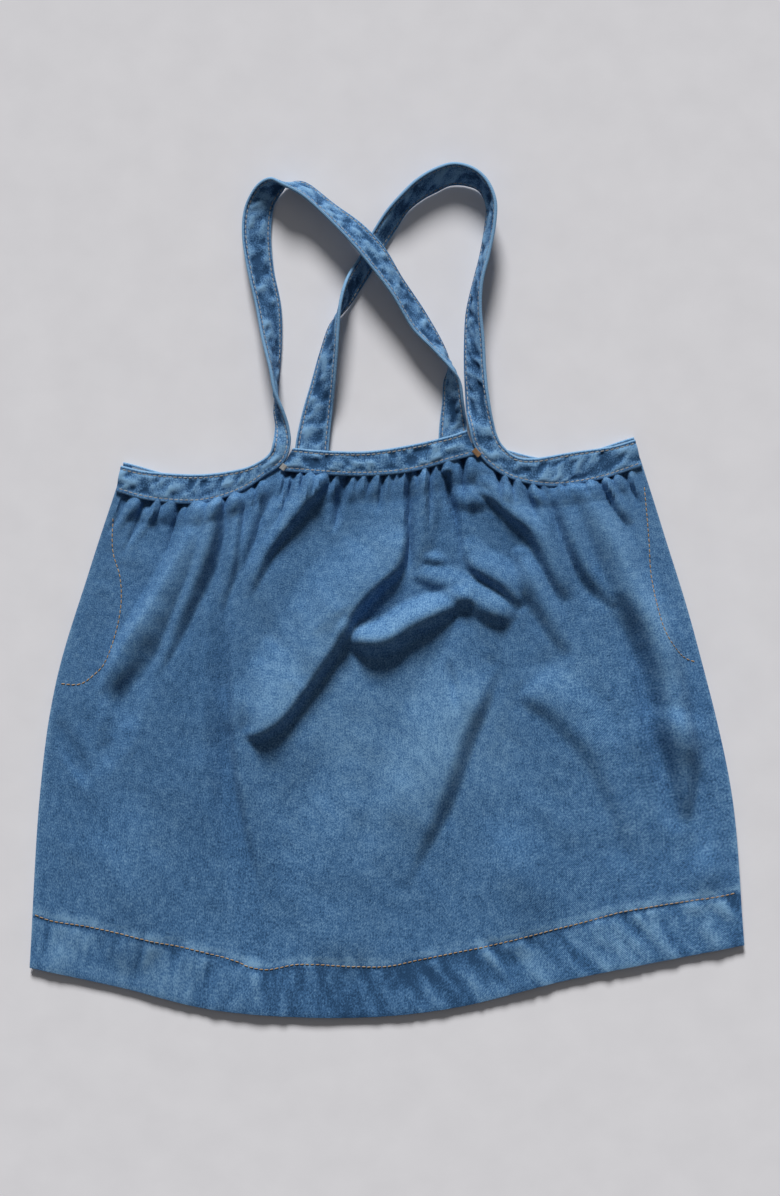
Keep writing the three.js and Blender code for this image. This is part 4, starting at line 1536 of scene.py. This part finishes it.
@dataclass
class Straps:
    """Both shoulder straps with their side bands, stitching and bar tacks.

    Attributes:
        finishes: The apron's finishes.
        band_lift: Height of a side band's middle above the front's underside.
        fold: A point on the line that the straps fold on, in metres; not used.
        fold_width: Distance over which the fold is spread; not used.
        fold_way: Direction across the fold line, towards the straps; not used.
    """

    finishes: Finishes
    band_lift: float = BAND_LIFT
    fold: tuple[float, float, float] = (0, 0.0945, 0.014)
    fold_width: float = 0.016
    fold_way: tuple[float, float, float] = (-0.08667, 0.99624, 0)

    def build(self) -> None:
        """Build both sides."""
        for route in (LEFT_ROUTE, RIGHT_ROUTE):
            self._side(route)

    def _blend(self, piece: bpy.types.Object) -> None:
        """Bake a piece's placement into its mesh."""
        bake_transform(piece)

    def _side(self, route: StrapRoute) -> None:
        """Build one side band and its strap.

        Args:
            route: The strip's edges.
        """
        side, finishes = route.side, self.finishes
        first = [*on_front(route.band_first, self.band_lift), *route.first, *route.end_first]
        second = [*on_front(route.band_second, self.band_lift), *route.second, *route.end_second]
        sewn = Strip(first, second, seed=route.seed)
        strap = sewn.build(f"{side}_shoulder_strap")
        nodes = (f"{side}_side_band", f"{side}_strap", f"{side}_strap_back_end")
        settle_in(strap, finishes.strap, Slot.STRAP, *nodes)
        self._blend(strap)
        band_end = float(np.linalg.norm(np.diff(np.array(route.band_first), axis=0), axis=1).sum())
        face = int(np.sign(sewn.normal[20, 2]))
        for row, edge, nodes in (
            ("inner", -1, (f"{side}_strap_inner_stitching", f"{side}_side_band_upper_stitching")),
            ("outer", 1, (f"{side}_strap_outer_stitching", f"{side}_side_band_lower_stitching")),
        ):
            last = sewn.length - 2
            rows = [sewn.row(edge, face, 1, last), sewn.row(edge, -face, band_end, last)]
            stitches = Stitching(seed=40 + edge).build(f"{side}_{row}_stitches", rows)
            settle_in(stitches, finishes.faded_thread, Slot.THREAD, *nodes)
            self._blend(stitches)
        self._facing(route)
        self._tacks(route)

    def _facing(self, route: StrapRoute) -> None:
        """Build the facing inside a side band."""
        edges = [on_front(edge, self.band_lift - 2.9) for edge in (route.band_second, route.band_first)]
        if route.side == "right":
            edges = [edge[::-1] for edge in edges]
        shape = part(strip(*edges), (0.06, 0.94), (0.01, 0.99))
        facing = cloth_layer(f"{route.side}_band_facing", shape, (8, 80), (0.014, 0.12), 0.7)
        settle_in(facing, self.finishes.inside, Slot.INSIDE, f"{route.side}_side_band_facing")
        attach(facing, "skirt")

    def _tacks(self, route: StrapRoute) -> None:
        """Build the bar tack at the band's end and the one inside the back."""
        x, y, turn = route.tack
        height = float(front_height(np.array(x), np.array(y))) + self.band_lift + 1.25
        centre = np.array([x, y, height])
        front = self._bar(f"{route.side}_front_tack", centre, turn, route.tack_length)
        thread = self.finishes.tack if route.side == "right" else self.finishes.faded_thread
        settle_in(front, thread, Slot.TACK, f"{route.side}_front_bar_tack")
        end = (np.array(route.end_first[-1]) + np.array(route.end_second[-1])) / 2
        back = self._bar(f"{route.side}_back_tack", end + np.array([0, 4.5, 1.1]), 0.02, 14.0)
        settle_in(back, self.finishes.thread, Slot.THREAD, f"{route.side}_back_bar_tack")
        for tack in (front, back):
            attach(tack, "skirt")

    @staticmethod
    def _bar(name: str, centre: np.ndarray, turn: float, length: float) -> bpy.types.Object:
        """Make a bar of dense satin stitches.

        Args:
            name: The piece's name.
            centre: The bar's centre.
            turn: Angle of the bar from the X axis.
            length: Length of the bar.

        Returns:
            The piece.
        """
        along = np.array([math.cos(turn), math.sin(turn), 0])
        across = np.array([-math.sin(turn), math.cos(turn), 0])
        rows = []
        for step in np.arange(-length / 2, length / 2, 0.52):
            middle = centre + along * step
            points = np.array([middle + across * share for share in (-1.5, 0, 1.5)])
            rows.append((points, np.tile([0.0, 0, 1], (3, 1))))
        return Stitching(length=2.1, pitch=1.45, width=0.6, seed=5).build(name, rows)


@dataclass
class Studio:
    """The floor, the lights and the camera.

    Attributes:
        finishes: The apron's finishes.
        camera_place: Where the camera hangs, in metres.
        lens: The camera's focal length, in millimetres.
        key_way: Direction towards the key light.
        key_softness: Angle across the key light, in degrees.
        key_strength: Strength of the key light.
        ambient: Strength of the glow all round.
    """

    finishes: Finishes
    camera_place: tuple[float, float, float] = (0.0018, -0.0045, 1.694)
    lens: float = 85.0
    key_way: tuple[float, float, float] = (-0.10, 0.98, 0.56)
    key_softness: float = 17.0
    key_strength: float = 4.05
    ambient: float = 0.125

    def camera(self) -> None:
        """Hang the camera straight above the apron."""
        bpy.ops.object.camera_add(location=self.camera_place, rotation=(0, 0, 0))
        camera = bpy.context.object
        camera.data.lens = self.lens
        camera.data.sensor_width = 36
        camera.data.clip_start = 0.01
        bpy.context.scene.camera = camera

    def floor(self) -> None:
        """Lay the floor just under the apron."""
        bpy.ops.object.select_all(action="DESELECT")
        bpy.ops.mesh.primitive_plane_add(size=30, location=(0, 0, -0.0002))
        floor = bpy.context.object
        floor.name = "studio_floor"
        bpy.ops.object.transform_apply(location=True, rotation=False, scale=False)
        floor.data.materials.append(self.finishes.floor)

    def lights(self) -> None:
        """Light the apron softly from beyond its straps, with an even glow all round."""
        bpy.ops.object.light_add(type="SUN", location=self.key_way)
        key = bpy.context.object
        key.rotation_euler = (-Vector(self.key_way)).to_track_quat("-Z", "Y").to_euler()
        key.data.angle = math.radians(self.key_softness)
        key.data.energy = self.key_strength
        world = bpy.data.worlds.new("studio_glow")
        world.use_nodes = True
        glow = world.node_tree.nodes["Background"]
        glow.inputs["Color"].default_value = (0.98, 0.98, 1, 1)
        glow.inputs["Strength"].default_value = self.ambient
        bpy.context.scene.world = world
        bpy.context.scene.view_settings.view_transform = "Standard"

    def build(self) -> None:
        """Set up the studio."""
        self.camera()
        self.floor()
        self.lights()


def main() -> None:
    """Build the apron and its studio."""
    logging.basicConfig(level=logging.INFO, format="%(name)s %(message)s")
    finishes = Finishes()
    Studio(finishes).build()
    Skirt(finishes).build()
    Waistband(finishes).build()
    Straps(finishes).build()


if __name__ == "__main__":
    main()
